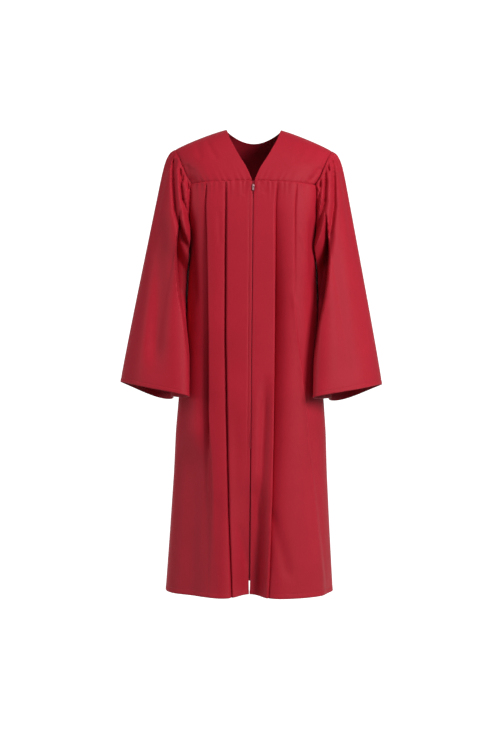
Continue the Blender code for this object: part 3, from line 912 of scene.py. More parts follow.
    def seam_lines(self, wall: ClothWall) -> list[tuple[Array, Array]]:
        """The stitch lines of the hem and, on a front, of the placket beside the zip.

        Args:
            wall: the cloth, on whose face the stitches lie.

        Returns:
            The points and the cloth's directions along each line.
        """
        points, above = self.grid()
        normal = outward_normals(points)
        surface = points + normal * wall.thick / 2
        row = int(np.argmin(np.abs(above[:, above.shape[1] // 3])))
        lines = [(surface[row], normal[row])]
        if self.front:
            beside, end = self.placket
            # The column is found on a row below the seam, where the placket runs straight
            row = 40
            column = int(np.argmin(np.abs(np.abs(points[row, :, 0]) - beside)))
            last = int(np.argmin(np.abs(points[:, column, 2] - end)))
            lines.append((surface[2:last, column], normal[2:last, column]))
        return lines

    def build(self, wall: ClothWall) -> bpy.types.Object:
        """Builds the panel, doubled below its hem's stitch line."""
        points, above = self.grid()
        return wall.build(f"{self.node}_cloth", points, extra=self.cut.doubled(above))


@dataclass
class Yoke:
    """The flat yokes over the shoulders, two in front and one behind."""

    cut: Cut
    # The top edge of each panel, which the yoke's seam is sewn to
    edges: dict[Panel, Array]
    # Rough size of a front yoke, up and across
    height: float = 0.16
    width: float = 0.14
    # Columns: share of the drop, share of the way in, for the V of the neck
    v_neck: Array = field(default_factory=lambda: table(
        (0.00, 0.00),
        (0.24, 0.16),
        (0.547, 0.498),
        (0.774, 0.80),
        (0.916, 0.93),
        (1.00, 1.00),
    ))
    # Columns: share across and up of each end, depth, half width, for a front yoke
    creases: dict[Side, Array] = field(default_factory=lambda: {
        Side.RIGHT: table(
            (0.42, 0.62, 0.40, 0.28, 0.0016, 0.05),
            (0.60, 0.66, 0.66, 0.34, 0.0014, 0.06),
            (0.93, 0.30, 0.99, 0.02, 0.0030, 0.045),
            (0.93, 0.02, 0.86, 0.22, 0.0016, 0.05),
        ),
        Side.LEFT: table(
            (0.45, 0.60, 0.50, 0.25, 0.0012, 0.06),
            (0.72, 0.70, 0.66, 0.30, 0.0014, 0.07),
            (0.95, 0.28, 0.90, 0.04, 0.0030, 0.05),
        ),
    })
    # Share of the way across from which the seam bends to the armhole's own depth
    fit_from: float = 0.6
    # How far the V's corners are rounded off, as a share of the drop
    v_round: float = 0.03
    # Puckers above a front seam: depth, pitch as a share of the width, phase on the left
    # and fade as a share of the height
    pucker: float = 0.0006
    pucker_pitch: float = 0.11
    pucker_phase: float = 1.7
    pucker_fade: float = 0.07
    # The cloth lies flat over this share of the width beside the neck
    neck_hold: float = 0.05

    def seam_depth(self, panel: Panel, across: Array, share: Array, roll: float = 0.0) -> Array:
        """Depth of a yoke's seam: the panel's own edge, bent to the armhole's depth.

        Args:
            panel: the panel that is sewn on there.
            across: distance from the middle.
            share: the same distance as a share of the way to the armhole.
            roll: added depth, which the seam's stitches draw back in.

        Returns:
            The depth at each point.
        """
        edge = self.edges[panel]
        depth = np.interp(across, edge[:, 0], np.abs(edge[:, 1])) + roll
        at_armhole = self.cut.armhole_half_depth * np.sin(self.cut.yoke_turn())
        bend = smooth((share - self.fit_from) / (1 - self.fit_from))
        return depth + (at_armhole - depth[..., -1:]) * bend

    def way_in(self, drop: Array) -> Array:
        """The V's share of the way in to its point, its corners rounded off by the mean of
        a reading above and one below, except at its ends.

        Args:
            drop: share of the drop from the shoulder to the V's point.

        Returns:
            The share at each point.
        """
        near = read(self.v_neck, drop - self.v_round, 1) + read(self.v_neck, drop + self.v_round, 1)
        inside = (drop >= self.v_round) & (drop <= 1 - self.v_round)
        return np.where(inside, np.clip(near / 2, 0, 1), read(self.v_neck, drop, 1))

    def front_grid(self, side: Side, columns: int = 84, rows: int = 64) -> Array:
        """A front yoke: across from the neck edge to the armhole, up from the seam.

        Every column runs up an arc, depth by the sine and height by 1 - cosine of the
        armhole's own turn, so that its outer edge is the armhole. Its lower edge is the
        front panel's own.

        Args:
            side: the wearer's side.
            columns: points across.
            rows: points up.

        Returns:
            The points.
        """
        cut = self.cut
        share, rise = np.meshgrid(np.linspace(0, 1, columns), np.linspace(0, 1, rows))
        last = cut.yoke_turn()
        turn = last * (1 - rise)
        edge_x, _, edge_z = cut.armhole(turn)
        swing = np.sin(turn) / np.sin(last)
        drop = (1 - np.cos(turn)) / (1 - np.cos(last))
        neck_z = cut.seam_height(np.array(0.0)) * drop
        in_to_point = (cut.v_point_half_gap - cut.neck_half_width) * self.way_in(drop)
        neck_x = cut.neck_half_width + in_to_point
        _, top_z = cut.shoulder_point(share)
        seam_x = cut.v_point_half_gap + (cut.yoke_half_width - cut.v_point_half_gap) * share
        seam_y = self.seam_depth(Panel(side.word), seam_x, share, cut.seam_roll)
        x = neck_x + (edge_x - neck_x) * share
        chord_z = neck_z + (edge_z - neck_z) * share
        flat_z = top_z + (cut.seam_height(share) - top_z) * drop
        z = flat_z + (chord_z - flat_z) * share * (1 - share)
        grid = np.stack([x, -np.maximum(seam_y * swing, cut.seam_gap / 2), z], axis=2)
        puckers = self.pucker * ripple(share, self.pucker_pitch, self.pucker_phase * side.value)
        press = trough(share, rise, self.creases[side]) + puckers * np.exp(-rise / self.pucker_fade)
        press += cut.rolled(rise * self.height) + cut.rolled((1 - share) * self.width)
        press *= smooth(share / self.neck_hold)
        grid = grid - outward_normals(grid) * press[..., None]
        return grid * np.array([side.value, 1, 1])

    def back_grid(
        self, neck_columns: int = 30, shoulder_columns: int = 44, rows: int = 60
    ) -> Array:
        """The back yoke: one arch from the shoulder line down to the back panel's own edge,
        which the back neck's half oval cuts into between the sides of the neck.

        Args:
            neck_columns: steps across half of the neck.
            shoulder_columns: steps along a shoulder.
            rows: points down.

        Returns:
            The points.
        """
        cut = self.cut
        quarter = np.linspace(0, 1, neck_columns + 1) * np.pi / 2
        neck_x = cut.neck_half_width * np.sin(quarter)
        share = np.linspace(0, 1, shoulder_columns + 1)[1:]
        shoulder_x, shoulder_z = cut.shoulder_point(share)
        top_x = np.append(neck_x, shoulder_x)
        top_z = np.append(np.zeros_like(neck_x), shoulder_z)
        oval = np.sqrt(np.clip(1 - (top_x / cut.neck_half_width) ** 2, 0, 1))
        reach = top_x / top_x[-1]
        seam_x = cut.yoke_half_width * reach
        seam_y = self.seam_depth(Panel.BACK, seam_x, reach)
        last = cut.yoke_turn()
        first = np.arcsin(np.clip(cut.back_neck_depth * oval / seam_y * np.sin(last), 0, 1))
        turn = first + (last - first) * np.linspace(0, 1, rows)[:, None]
        swing = np.sin(turn) / np.sin(last)
        drop = (1 - np.cos(turn)) / (1 - np.cos(last))
        edge_x = cut.armhole(turn[:, -1:])[0]
        lean = top_x + (seam_x - top_x) * drop
        x = lean + (edge_x - lean[:, -1:]) * smooth((reach - 0.5) / 0.5)
        y = np.maximum(seam_y * swing, cut.seam_gap / 2)
        z = top_z + (cut.seam_height(reach) - top_z) * drop
        half = np.stack([x, y, z], axis=2)
        return np.concatenate([half[:, :0:-1] * MIRROR, half], axis=1)

    def build_front(self, side: Side, wall: ClothWall) -> bpy.types.Object:
        """Builds one front yoke."""
        return wall.build(f"yoke_front_{side.word}_cloth", self.front_grid(side))

    def build_back(self, wall: ClothWall) -> bpy.types.Object:
        """Builds the back yoke."""
        return wall.build("yoke_back_cloth", self.back_grid())


Waves = tuple[tuple[float, float, float, float], ...]


@dataclass(frozen=True)
class Gathers:
    """The small folds that fan out from a sleeve's gathered head. Angles are in degrees
    round the sleeve, nought at its outer side. No two folds are alike: waves of the angle
    shift them round and vary their depth and their length."""

    depth: float = 0.0024
    pitch: float = 9.5
    half_span: float = 117.0
    span_fade: float = 15.0
    # Share of the sleeve's length over which they begin, and over which they fade
    start: float = 0.022
    fade: float = 0.055
    # How much deeper a trough is than a crest is high
    sharpness: float = 0.35
    # A slow shift: reach, waves along the sleeve, degrees a radian, share it sets in over
    sway: tuple[float, float, float, float] = (5.0, 9.0, 31.0, 0.1)
    # Waves of the angle. Columns: mean, reach, degrees a radian, phase
    shifts: Waves = ((0.0, 3.2, 7.3, 0.4), (0.0, 2.0, 4.1, 0.0))
    depths: Waves = ((0.75, 0.45, 17.0, 1.1), (0.80, 0.40, 5.3, 1.9))
    lengths: Waves = ((1.0, 0.55, 6.2, 0.9),)
    # In front they are shallower: share lost, the angle it begins at, degrees it sets in over
    front_loss: tuple[float, float, float] = (0.6, 12.0, 15.0)

    @staticmethod
    def waves(rows: Waves, angle: Array) -> list[Array]:
        """One wave for each row: mean + reach * sin(angle / degrees + phase)."""
        return [mean + reach * np.sin(angle / step + phase) for mean, reach, step, phase in rows]

    def outwards(self, angle: Array, share: Array) -> Array:
        """How far the gathers stand out: depth * (c - s(1 - c)^2) of a shifted cosine c,
        which begins at the head and fades as exp(-share / length).

        Args:
            angle: angle round the sleeve, from -180 to 180.
            share: share of the sleeve's length.

        Returns:
            The outward distance at each point, below zero in a trough.
        """
        reach, along, step, sets_in = self.sway
        sway = reach * np.sin(share * along + angle / step) * smooth(share / sets_in)
        shifted = angle + sway + sum(self.waves(self.shifts, angle))
        wave = np.cos(2 * np.pi * shifted / self.pitch)
        wave = self.depth * (wave - self.sharpness * (1 - wave) ** 2)
        lost, begins, over = self.front_loss
        uneven = np.prod(self.waves(self.depths, angle), axis=0)
        uneven = uneven * (1 - lost * smooth((angle - begins) / over))
        head = smooth((self.half_span - np.abs(angle)) / self.span_fade)
        fade = self.fade * self.waves(self.lengths, angle)[0]
        return wave * head * uneven * smooth(share / self.start) * np.exp(-share / fade)


@dataclass
class BellSleeve:
    """A long sleeve, gathered into the armhole and widening to an open cuff."""

    cut: Cut
    gathers: Gathers = Gathers()
    # Rough length from the head to the cuff, for the widths of the seam and the hem
    length: float = 0.60
    puff: float = 0.018
    puff_length: float = 0.035
    puff_under_arm: float = 0.35
    # How far the seam stands off the robe: all round, more at the underarm, more on top
    stand_off: tuple[float, float, float] = (0.0008, 0.0012, 0.0006)
    seam_roll: float = 0.0008
    seam_roll_fade: float = 0.0025
    # Share of the length over which the folds set in below the seam
    seam_hold: float = 0.018
    # How far the sleeve stays off the robe's body, and how softly it is pushed off it
    arm_clearance: float = 0.0045
    clearance_blend: float = 0.0015
    # Angles between which the front folds lie, and the degrees over which they set in
    front_span: tuple[float, float] = (8.0, 172.0)
    front_fade: float = 20.0
    # Columns: angle from the outer side round by the front, across, depth, height
    cuff: Array = field(default_factory=lambda: table(
        (0, 0.3215, -0.010, -0.623),
        (45, 0.2920, -0.098, -0.6265),
        (90, 0.2220, -0.146, -0.6395),
        (135, 0.1475, -0.140, -0.6550),
        (180, 0.1870, -0.030, -0.658),
        (225, 0.1960, 0.055, -0.660),
        (270, 0.2250, 0.128, -0.665),
        (315, 0.2920, 0.085, -0.640),
    ))
    # Folds all round. Columns: angle and share at each end, depth, half width in degrees
    folds: Array = field(default_factory=lambda: table(
        (24, 0.00, 30, 0.09, 0.003, 4.0),
        (20, 0.02, 34, 0.45, 0.003, 10.0),
        (-24, 0.00, -34, 0.16, 0.006, 5.0),
        (-40, 0.01, -62, 0.40, 0.007, 9.0),
        (-55, 0.00, -84, 0.14, 0.007, 5.0),
        (-78, 0.01, -120, 0.30, 0.009, 9.0),
        (-105, 0.30, -112, 0.95, 0.009, 16.0),
        (-48, 0.42, -40, 1.00, 0.006, 13.0),
        (76, 0.35, 84, 1.00, 0.005, 14.0),
    ))
    # Folds of a sleeve's front, as seen from there. Columns: across and height of each end,
    # depth, half width
    front_folds: dict[Side, Array] = field(default_factory=lambda: {
        Side.RIGHT: table(
            (0.1954, -0.080, 0.1926, -0.137, 0.0150, 0.0052),
            (0.1926, -0.137, 0.1865, -0.211, 0.0160, 0.0058),
            (0.1865, -0.211, 0.1676, -0.275, 0.0140, 0.0065),
            (0.1676, -0.275, 0.1473, -0.321, 0.0140, 0.0080),
            (0.1765, -0.105, 0.1738, -0.150, 0.0105, 0.0038),
            (0.1738, -0.150, 0.1686, -0.186, 0.0125, 0.0046),
            (0.1686, -0.186, 0.1470, -0.262, 0.0120, 0.0052),
            (0.1672, -0.108, 0.1705, -0.138, 0.0080, 0.0028),
            (0.1615, -0.121, 0.1545, -0.160, 0.0080, 0.0032),
            (0.1860, -0.072, 0.1880, -0.100, 0.0040, 0.0032),
            (0.2230, -0.240, 0.2350, -0.560, 0.0120, 0.0190),
        ),
        Side.LEFT: table(
            (0.1920, -0.072, 0.1950, -0.113, 0.0080, 0.0050),
            (0.1950, -0.113, 0.1952, -0.188, 0.0140, 0.0056),
            (0.1952, -0.188, 0.1870, -0.260, 0.0150, 0.0065),
            (0.1870, -0.260, 0.1769, -0.333, 0.0170, 0.0075),
            (0.1769, -0.333, 0.1646, -0.423, 0.0120, 0.0080),
            (0.1725, -0.100, 0.1748, -0.132, 0.0080, 0.0036),
            (0.1748, -0.132, 0.1721, -0.186, 0.0120, 0.0044),
            (0.1721, -0.186, 0.1500, -0.275, 0.0150, 0.0058),
            (0.1797, -0.086, 0.1840, -0.108, 0.0085, 0.0030),
            (0.1598, -0.128, 0.1622, -0.150, 0.0090, 0.0030),
            (0.1622, -0.150, 0.1590, -0.175, 0.0050, 0.0034),
            (0.1655, -0.113, 0.1685, -0.128, 0.0040, 0.0022),
            (0.2450, -0.300, 0.2700, -0.560, 0.0040, 0.0200),
        ),
    })
    # The edge of the front roll, beyond which the cloth lies back beside the body.
    # Columns: share of the length, angle, depth
    inner_edge: Array = field(default_factory=lambda: table(
        (0.14, 76, 0.000),
        (0.20, 78, 0.020),
        (0.26, 80, 0.042),
        (0.32, 84, 0.062),
        (0.45, 100, 0.072),
        (0.60, 117, 0.052),
        (0.78, 128, 0.022),
        (0.95, 134, 0.000),
    ))
    # Degrees over which the cloth turns in at that edge
    fold_turn: float = 3.6
    # Where the cloth leans in to the body. Columns: angle, depth, half width, share it ends at
    tucks: Array = field(default_factory=lambda: table(
        (135, 0.009, 20, 0.25),
        (228, 0.020, 24, 0.42),
    ))

    def cuff_points(self, angle: Array) -> Array:
        """The cuff's closed curve: the table's rows joined by a sum of cosines and sines.

        Args:
            angle: angle round the sleeve, in degrees.

        Returns:
            The curve's point at each angle.
        """
        count = len(self.cuff)
        terms = np.fft.rfft(self.cuff[:, 1:], axis=0) / count
        turns = np.radians(angle)[..., None]
        value = np.real(terms[0]) * np.ones(angle.shape + (3,))
        for order in range(1, len(terms)):
            weight = 1.0 if order == count / 2 else 2.0
            term = terms[order]
            wave = term.real * np.cos(order * turns) - term.imag * np.sin(order * turns)
            value = value + weight * wave
        return value

    def fold_depth(self, angle: Array, share: Array) -> Array:
        """Inward press of the long folds, each a trough exp(-(d/w)^2) along its line, which
        sets in before its start and eases out towards its end.

        Args:
            angle: angle round the sleeve, from 0 to 360.
            share: share of the sleeve's length.

        Returns:
            The inward distance at each point.
        """
        press = np.zeros_like(angle)
        for start_angle, start, end_angle, end, depth, half_width in self.folds:
            along = (share - start) / (end - start)
            centre = start_angle + (end_angle - start_angle) * np.clip(along, 0, 1)
            off = (angle - centre + 180) % 360 - 180
            ends = smooth(along / 0.18 + 0.6) * smooth((1 - along) / 0.25 + 0.15)
            press = press + depth * np.exp(-((off / half_width) ** 2)) * ends
        return press

    def inner_fold(self, angle: Array, share: Array) -> Array:
        """Backward press of the cloth past the front roll's edge: a steep smooth step across
        the edge, and a slow one back to nothing behind the underarm.

        Args:
            angle: angle round the sleeve, from 0 to 360.
            share: share of the sleeve's length.

        Returns:
            The backward distance at each point.
        """
        edge, depth = read(self.inner_edge, share, 1), read(self.inner_edge, share, 2)
        back = smooth((190 - angle) / 35)
        return depth * smooth((angle - edge) / self.fold_turn + 0.5) * back

    def tuck(self, angle: Array, share: Array) -> Array:
        """How far the cloth beside the body leans in, a sum of t * exp(-(d/w)^2) that fades
        over a fifth of the length past each one's last share.

        Args:
            angle: angle round the sleeve, from 0 to 360.
            share: share of the sleeve's length.

        Returns:
            The distance at each point.
        """
        lean = np.zeros_like(angle)
        for centre, depth, half_width, last in self.tucks:
            shape = np.exp(-(((angle - centre) / half_width) ** 2))
            lean += depth * shape * (1 - smooth((share - last) / 0.2))
        return lean * smooth(share / 0.04)

    def shares(self, rows: int) -> Array:
        """Shares of the sleeve's length, closer together at the head and at the cuff.

        Args:
            rows: how many.

        Returns:
            The rows' shares.
        """
        head_rows, foot_rows, head_ends, foot_starts = 40, 19, 0.12, 0.965
        head = head_ends * np.linspace(0, 1, head_rows) ** 1.4
        body = np.linspace(head_ends, foot_starts, rows - head_rows - foot_rows + 1)[1:]
        return np.concatenate([head, body, np.linspace(foot_starts, 1, foot_rows + 1)[1:]])

    def seam_points(self, angle: Array) -> Array:
        """The armhole's oval, moved out to where the sleeve's own edge stands.

        Args:
            angle: angle round the sleeve, from -180 to 180.

        Returns:
            The edge's point at each angle.
        """
        turn = np.radians(angle)
        x, depth, z = self.cut.armhole(np.abs(turn))
        least, under, over = self.stand_off
        x = x + least + under * (1 - np.cos(turn)) / 2 + over * (1 + np.cos(turn)) / 2
        return np.stack([x, -depth * np.sign(angle), z], axis=2)

    def clear_of_body(self, grid: Array, share: Array) -> Array:
        """How far each point has to move out to stand clear of the robe's body: the missing
        distance m, rounded off as (m + sqrt(m^2 + b^2)) / 2.

        Args:
            grid: the sleeve's points.
            share: share of the sleeve's length.

        Returns:
            The distance at each point.
        """
        reach = self.cut.body_reach(grid[:, :, 1], grid[:, :, 2])
        short = reach + self.arm_clearance * smooth(share / 0.08) - grid[:, :, 0]
        push = (short + np.sqrt(short ** 2 + self.clearance_blend ** 2)) / 2
        return push * smooth(share / 0.02)

    def grid(self, side: Side, columns: int = 368, rows: int = 132) -> tuple[Array, Array]:
        """The sleeve's points: straight lines from the armhole to the cuff, puffed out by
        p(1 - exp(-s/l))(1 - s)^0.75, waved by the gathers and pressed in by the folds.

        Args:
            side: the wearer's side.
            columns: points round the sleeve.
            rows: points along it.

        Returns:
            The points, and each one's distance along the sleeve above the cuff's stitch line.
        """
        cut = self.cut
        around = np.linspace(0, 360, columns, endpoint=False)
        angle, share = np.meshgrid(around, self.shares(rows))
        turn = np.radians(angle)
        wrapped = (angle + 180) % 360 - 180
        away = unit(np.stack([np.cos(turn) / 2 + 0.5, -np.sin(turn), np.cos(turn) / 4], axis=2))
        start = self.seam_points(wrapped)
        grid = start + (self.cuff_points(angle) - start) * share[:, :, None]
        puff = self.puff * (1 - np.exp(-share / self.puff_length)) * (1 - share) ** 0.75
        over_arm = smooth((150 - np.abs(wrapped)) / 70)
        puff = puff * (self.puff_under_arm + (1 - self.puff_under_arm) * over_arm)
        puffed = grid + away * puff[:, :, None]
        first, last = self.front_span
        in_front = smooth((wrapped - first) / self.front_fade)
        in_front = in_front * smooth((last - wrapped) / self.front_fade)
        back_by = trough(puffed[:, :, 0], puffed[:, :, 2], self.front_folds[side]) * in_front
        hold = smooth(share / self.seam_hold)
        back_by = (back_by + self.inner_fold(angle, share)) * hold
        above = (1 - share) * self.length - cut.hem_depth
        press = self.fold_depth(angle, share) * hold + cut.stitched(above)
        press += self.seam_roll * np.exp(-share * self.length / self.seam_roll_fade)
        outwards = puff + self.gathers.outwards(wrapped, share) - press
        grid = grid + away * outwards[:, :, None]
        grid[:, :, 0] -= self.tuck(angle, share)
        grid[:, :, 1] += back_by
        grid[:, :, 0] += self.clear_of_body(grid, share)
        return grid * np.array([side.value, 1, 1]), above

    def build(self, side: Side, wall: ClothWall) -> bpy.types.Object:
        """Builds the sleeve, doubled below the cuff's stitch line.

        Args:
            side: the wearer's side.
            wall: the cloth.

        Returns:
            The sleeve.
        """
        grid, above = self.grid(side)
        name = f"sleeve_{side.word}_cloth"
        return wall.build(name, grid, around=True, extra=self.cut.doubled(above))

    def seam_line(self, side: Side, wall: ClothWall) -> tuple[Array, Array]:
        """The cuff's stitch line, all round the sleeve.

        Args:
            side: the wearer's side.
            wall: the cloth, on whose face the stitches lie.

        Returns:
            The line's points and the cloth's directions there.
        """
        grid, above = self.grid(side)
        normal = outward_normals(grid, around=True)
        row = int(np.argmin(np.abs(above[:, 0])))
        facing = normal[row]
        surface = grid[row] + facing * wall.thick / 2
        return tuple(np.append(line, line[:1], axis=0) for line in (surface, facing))


@dataclass(frozen=True)
class Stitching:
    """Lines of stitches or teeth, each one a small dome with a half-round section."""

    long: float = 0.0030
    gap: float = 0.0012
    wide: float = 0.00055
    high: float = 0.00030
    # A dome's sections. Columns: share of its length from its middle, share of its width
    sections: tuple[tuple[float, float], ...] = (
        (-0.5, 0.15), (-0.42, 0.80), (0.0, 1.0), (0.42, 0.80), (0.5, 0.15),
    )

    def dome(self) -> tuple[Array, Array]:
        """One stitch of length, width and height 1: half rounds laid along it.

        Returns:
            Its points and faces.
        """
        along, size = np.array(self.sections).T[:, :, None]
        turn = np.linspace(0, np.pi, 5)
        side, up = size * np.cos(turn) / 2, size * np.sin(turn)
        points = np.stack([along + 0 * side, side, up], axis=2).reshape(-1, 3)
        return points, cells(np.arange(side.size).reshape(side.shape)).reshape(-1, 4)

    def along(self, line: Array, normal: Array, across: bool = False) -> tuple[Array, Array]:
        """Repeats the stitch at even lengths along a line.

        Args:
            line: points along the line.
            normal: the cloth's outward direction at each point.
            across: whether each stitch lies across the line, as a zip's teeth do.

        Returns:
            The stitches' points and faces.
        """
        run = np.concatenate([[0.0], np.cumsum(np.linalg.norm(np.diff(line, axis=0), axis=1))])
        pitch = (self.wide if across else self.long) + self.gap
        places = np.arange(self.gap, run[-1] - self.gap, pitch)

        def at_places(values: Array) -> Array:
            """Reads values that go with the line's points at the stitches' places."""
            return np.stack([np.interp(places, run, column) for column in values.T], axis=1)

        base, up = at_places(line), unit(at_places(normal))
        ahead = unit(at_places(np.gradient(line, axis=0)))
        side = unit(np.cross(up, ahead))
        if across:
            ahead, side = side, ahead
        points, faces = self.dome()
        spread = points * np.array([self.long, self.wide, self.high])
        placed = base[:, None] + sum(
            spread[None, :, axis, None] * basis[:, None]
            for axis, basis in enumerate((ahead, side, up))
        )
        step = (np.arange(len(places)) * len(points))[:, None, None]
        return placed.reshape(-1, 3), (faces[None] + step).reshape(-1, 4)

    def build(
        self, name: str, lines: list[tuple[Array, Array]], across: bool = False
    ) -> bpy.types.Object:
        """Joins several lines of stitches into one piece.

        Args:
            name: the piece's name.
            lines: the points and the cloth's directions of each line.
            across: whether each stitch lies across its line.

        Returns:
            The new piece.
        """
        points, faces, count = [], [], 0
        for line, normal in lines:
            more_points, more_faces = self.along(line, normal, across)
            points.append(more_points)
            faces.append(more_faces + count)
            count += len(more_points)
        return mesh_piece(name, np.concatenate(points), np.concatenate(faces))


@dataclass(frozen=True)
class Zip:
    """The closed zip: a coil of fine teeth on the two tapes, seen in the slot between the
    front edges. Its slider, pull and stop are the solids themselves."""

    cut: Cut
    teeth: Stitching = Stitching(long=0.0021, gap=0.0005, wide=0.0009, high=0.0005)
    top_z: float = -0.158
    bottom_z: float = -0.776
    # How far behind the face of the fronts the coil lies, and the points along its line
    behind: float = 0.0013
    steps: int = 200

    def build(self) -> bpy.types.Object:
        """Builds the coil down the middle, just in front of the tapes.

        Returns:
            The coil.
        """
        z = np.linspace(self.top_z, self.bottom_z, self.steps)
        depth = self.cut.ring_sizes(z, True)[1]
        line = np.stack([0 * z, self.behind - depth, z], axis=1)
        facing = np.tile([0.0, -1.0, 0.0], (len(z), 1))
        return self.teeth.build("zip_coil", [(line, facing)], across=True)


@dataclass(frozen=True)
class SoftLight:
    """One square soft light: where it stands, its side in metres and its power in watts."""

    name: str
    place: tuple[float, float, float]
    size: float
    power: float

    def build(self, aim: tuple[float, float, float]) -> None:
        """Makes the light and turns its face to a point.

        Args:
            aim: the point.
        """
        lamp = bpy.data.lights.new(self.name, "AREA")
        lamp.shape = "SQUARE"
        lamp.size, lamp.energy = self.size, self.power
        thing = bpy.data.objects.new(self.name, lamp)
        bpy.context.scene.collection.objects.link(thing)
        thing.location = self.place
        x, y, z = np.array(aim) - np.array(self.place)
        thing.rotation_euler = (math.atan2(math.hypot(x, y), -z), 0.0, math.atan2(-x, y))


@dataclass(frozen=True)
class Backdrop:
    """The white floor, swept up behind the robe in a quarter round."""

    floor_z: float = -1.41
    half_width: float = 2.6
    near: float = -0.8
    far: float = 5.0
    rise: float = 5.0
    bend: float = 1.2
    white: Colour = (0.60, 0.60, 0.60)
    glow: float = 1.0

    def build(self) -> bpy.types.Object:
        """Builds the sheet: its section is flat, then a quarter round, then upright.

        Returns:
            The backdrop.
        """
        turn = np.linspace(0, np.pi / 2, 24)
        bend = self.bend
        y = np.concatenate([[self.near], self.far - bend + bend * np.sin(turn), [self.far]])
        z = np.concatenate([[0.0], bend - bend * np.cos(turn), [self.rise]]) + self.floor_z
        x, y = np.meshgrid([-self.half_width, self.half_width], y)
        points = np.stack([x, y, np.tile(z[:, None], 2)], axis=2)
        index = np.arange(x.size).reshape(x.shape)
        floor = mesh_piece("backdrop", points.reshape(-1, 3), cells(index).reshape(-1, 4)[:, ::-1])
        surface = Surface("backdrop_white", {
            "Base Color": (*self.white, 1.0),
            "Roughness": 1.0,
            "Specular IOR Level": 0.0,
            "Emission Color": (1.0, 1.0, 1.0, 1.0),
            "Emission Strength": self.glow,
        })
        floor.data.materials.append(surface.material)
        floor.visible_diffuse = False
        return floor


@dataclass(frozen=True)
class Studio:
    """A plain white room, a camera level with the robe's middle and four soft lights."""

    distance: float = 3.6
    camera_z: float = -0.606
    # Across and height of the point that the camera looks at
    aim: tuple[float, float] = (-0.0034, -0.5974)
    roll: float = 0.56
    lens: float = 70.43
    sensor_width: float = 36.0
    room_light: float = 0.17
    lights_aim: tuple[float, float, float] = (0.0, 0.0, -0.55)
    lights: tuple[SoftLight, ...] = (
        SoftLight("key", (2.42, -2.80, 0.86), 1.3, 117.0),
        SoftLight("side", (3.80, -0.33, 0.26), 1.6, 13.0),
        SoftLight("fill", (-3.61, -1.31, 0.43), 2.0, 50.0),
        SoftLight("top", (0.34, -1.92, 2.83), 1.4, 26.0),
    )

    def camera(self) -> None:
        """Makes the camera, which looks along +Y from the photograph's place."""
        lens = bpy.data.cameras.new("camera")
        lens.sensor_fit = "AUTO"
        lens.sensor_width = self.sensor_width
        lens.lens = self.lens
        camera = bpy.data.objects.new("camera", lens)
        bpy.context.scene.collection.objects.link(camera)
        camera.location = (self.aim[0], -self.distance, self.camera_z)
        tilt = math.atan2(self.aim[1] - self.camera_z, self.distance)
        camera.rotation_euler = (math.radians(90) + tilt, 0.0, 0.0)
        camera.rotation_mode = "QUATERNION"
        turn = camera.rotation_euler.to_quaternion()
        roll = math.radians(self.roll) / 2
        camera.rotation_quaternion = turn @ type(turn)((math.cos(roll), 0.0, 0.0, math.sin(roll)))
        bpy.context.scene.camera = camera

    def world(self) -> None:
        """Fills the room with even white light."""
        world = bpy.data.worlds.new("room")
        world.use_nodes = True
        background = world.node_tree.nodes["Background"]
        background.inputs["Color"].default_value = (1.0, 1.0, 1.0, 1.0)
        background.inputs["Strength"].default_value = self.room_light
        bpy.context.scene.world = world

    def build(self) -> None:
        """Sets up the camera, the room, its light and the backdrop."""
        bpy.context.scene.view_settings.view_transform = "Standard"
        self.camera()
        Backdrop().build()
        self.world()
        for light in self.lights:
            light.build(self.lights_aim)


@dataclass(frozen=True)
class SheetCut:
    """The flat cloth that a piece is sewn from, with its seams, hem and pleats let out.

    The width is the widest place, all round on a sleeve, and the area is the whole cut's.
    """

    width: float
    length: float
    area: float
    held: str
    rests_on: tuple[str, ...] = ()


def dress(piece: bpy.types.Object, material: bpy.types.Material, slot: str, body: str,
          *replaced: str) -> bpy.types.Object:
    """Gives a new piece its material and body, and hides the solids that it stands for.

    Args:
        piece: the new piece.
        material: its material.
        slot: its material slot in the CAD. Not used.
        body: the body that it rides on.
        replaced: the solids that it stands for.

    Returns:
        The piece itself.
    """
    piece.data.materials.append(material)
    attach(piece, body)
    if replaced:
        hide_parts(*replaced)
    LOG.info("%s: %d faces on %s", piece.name, len(piece.data.polygons), body)
    return piece


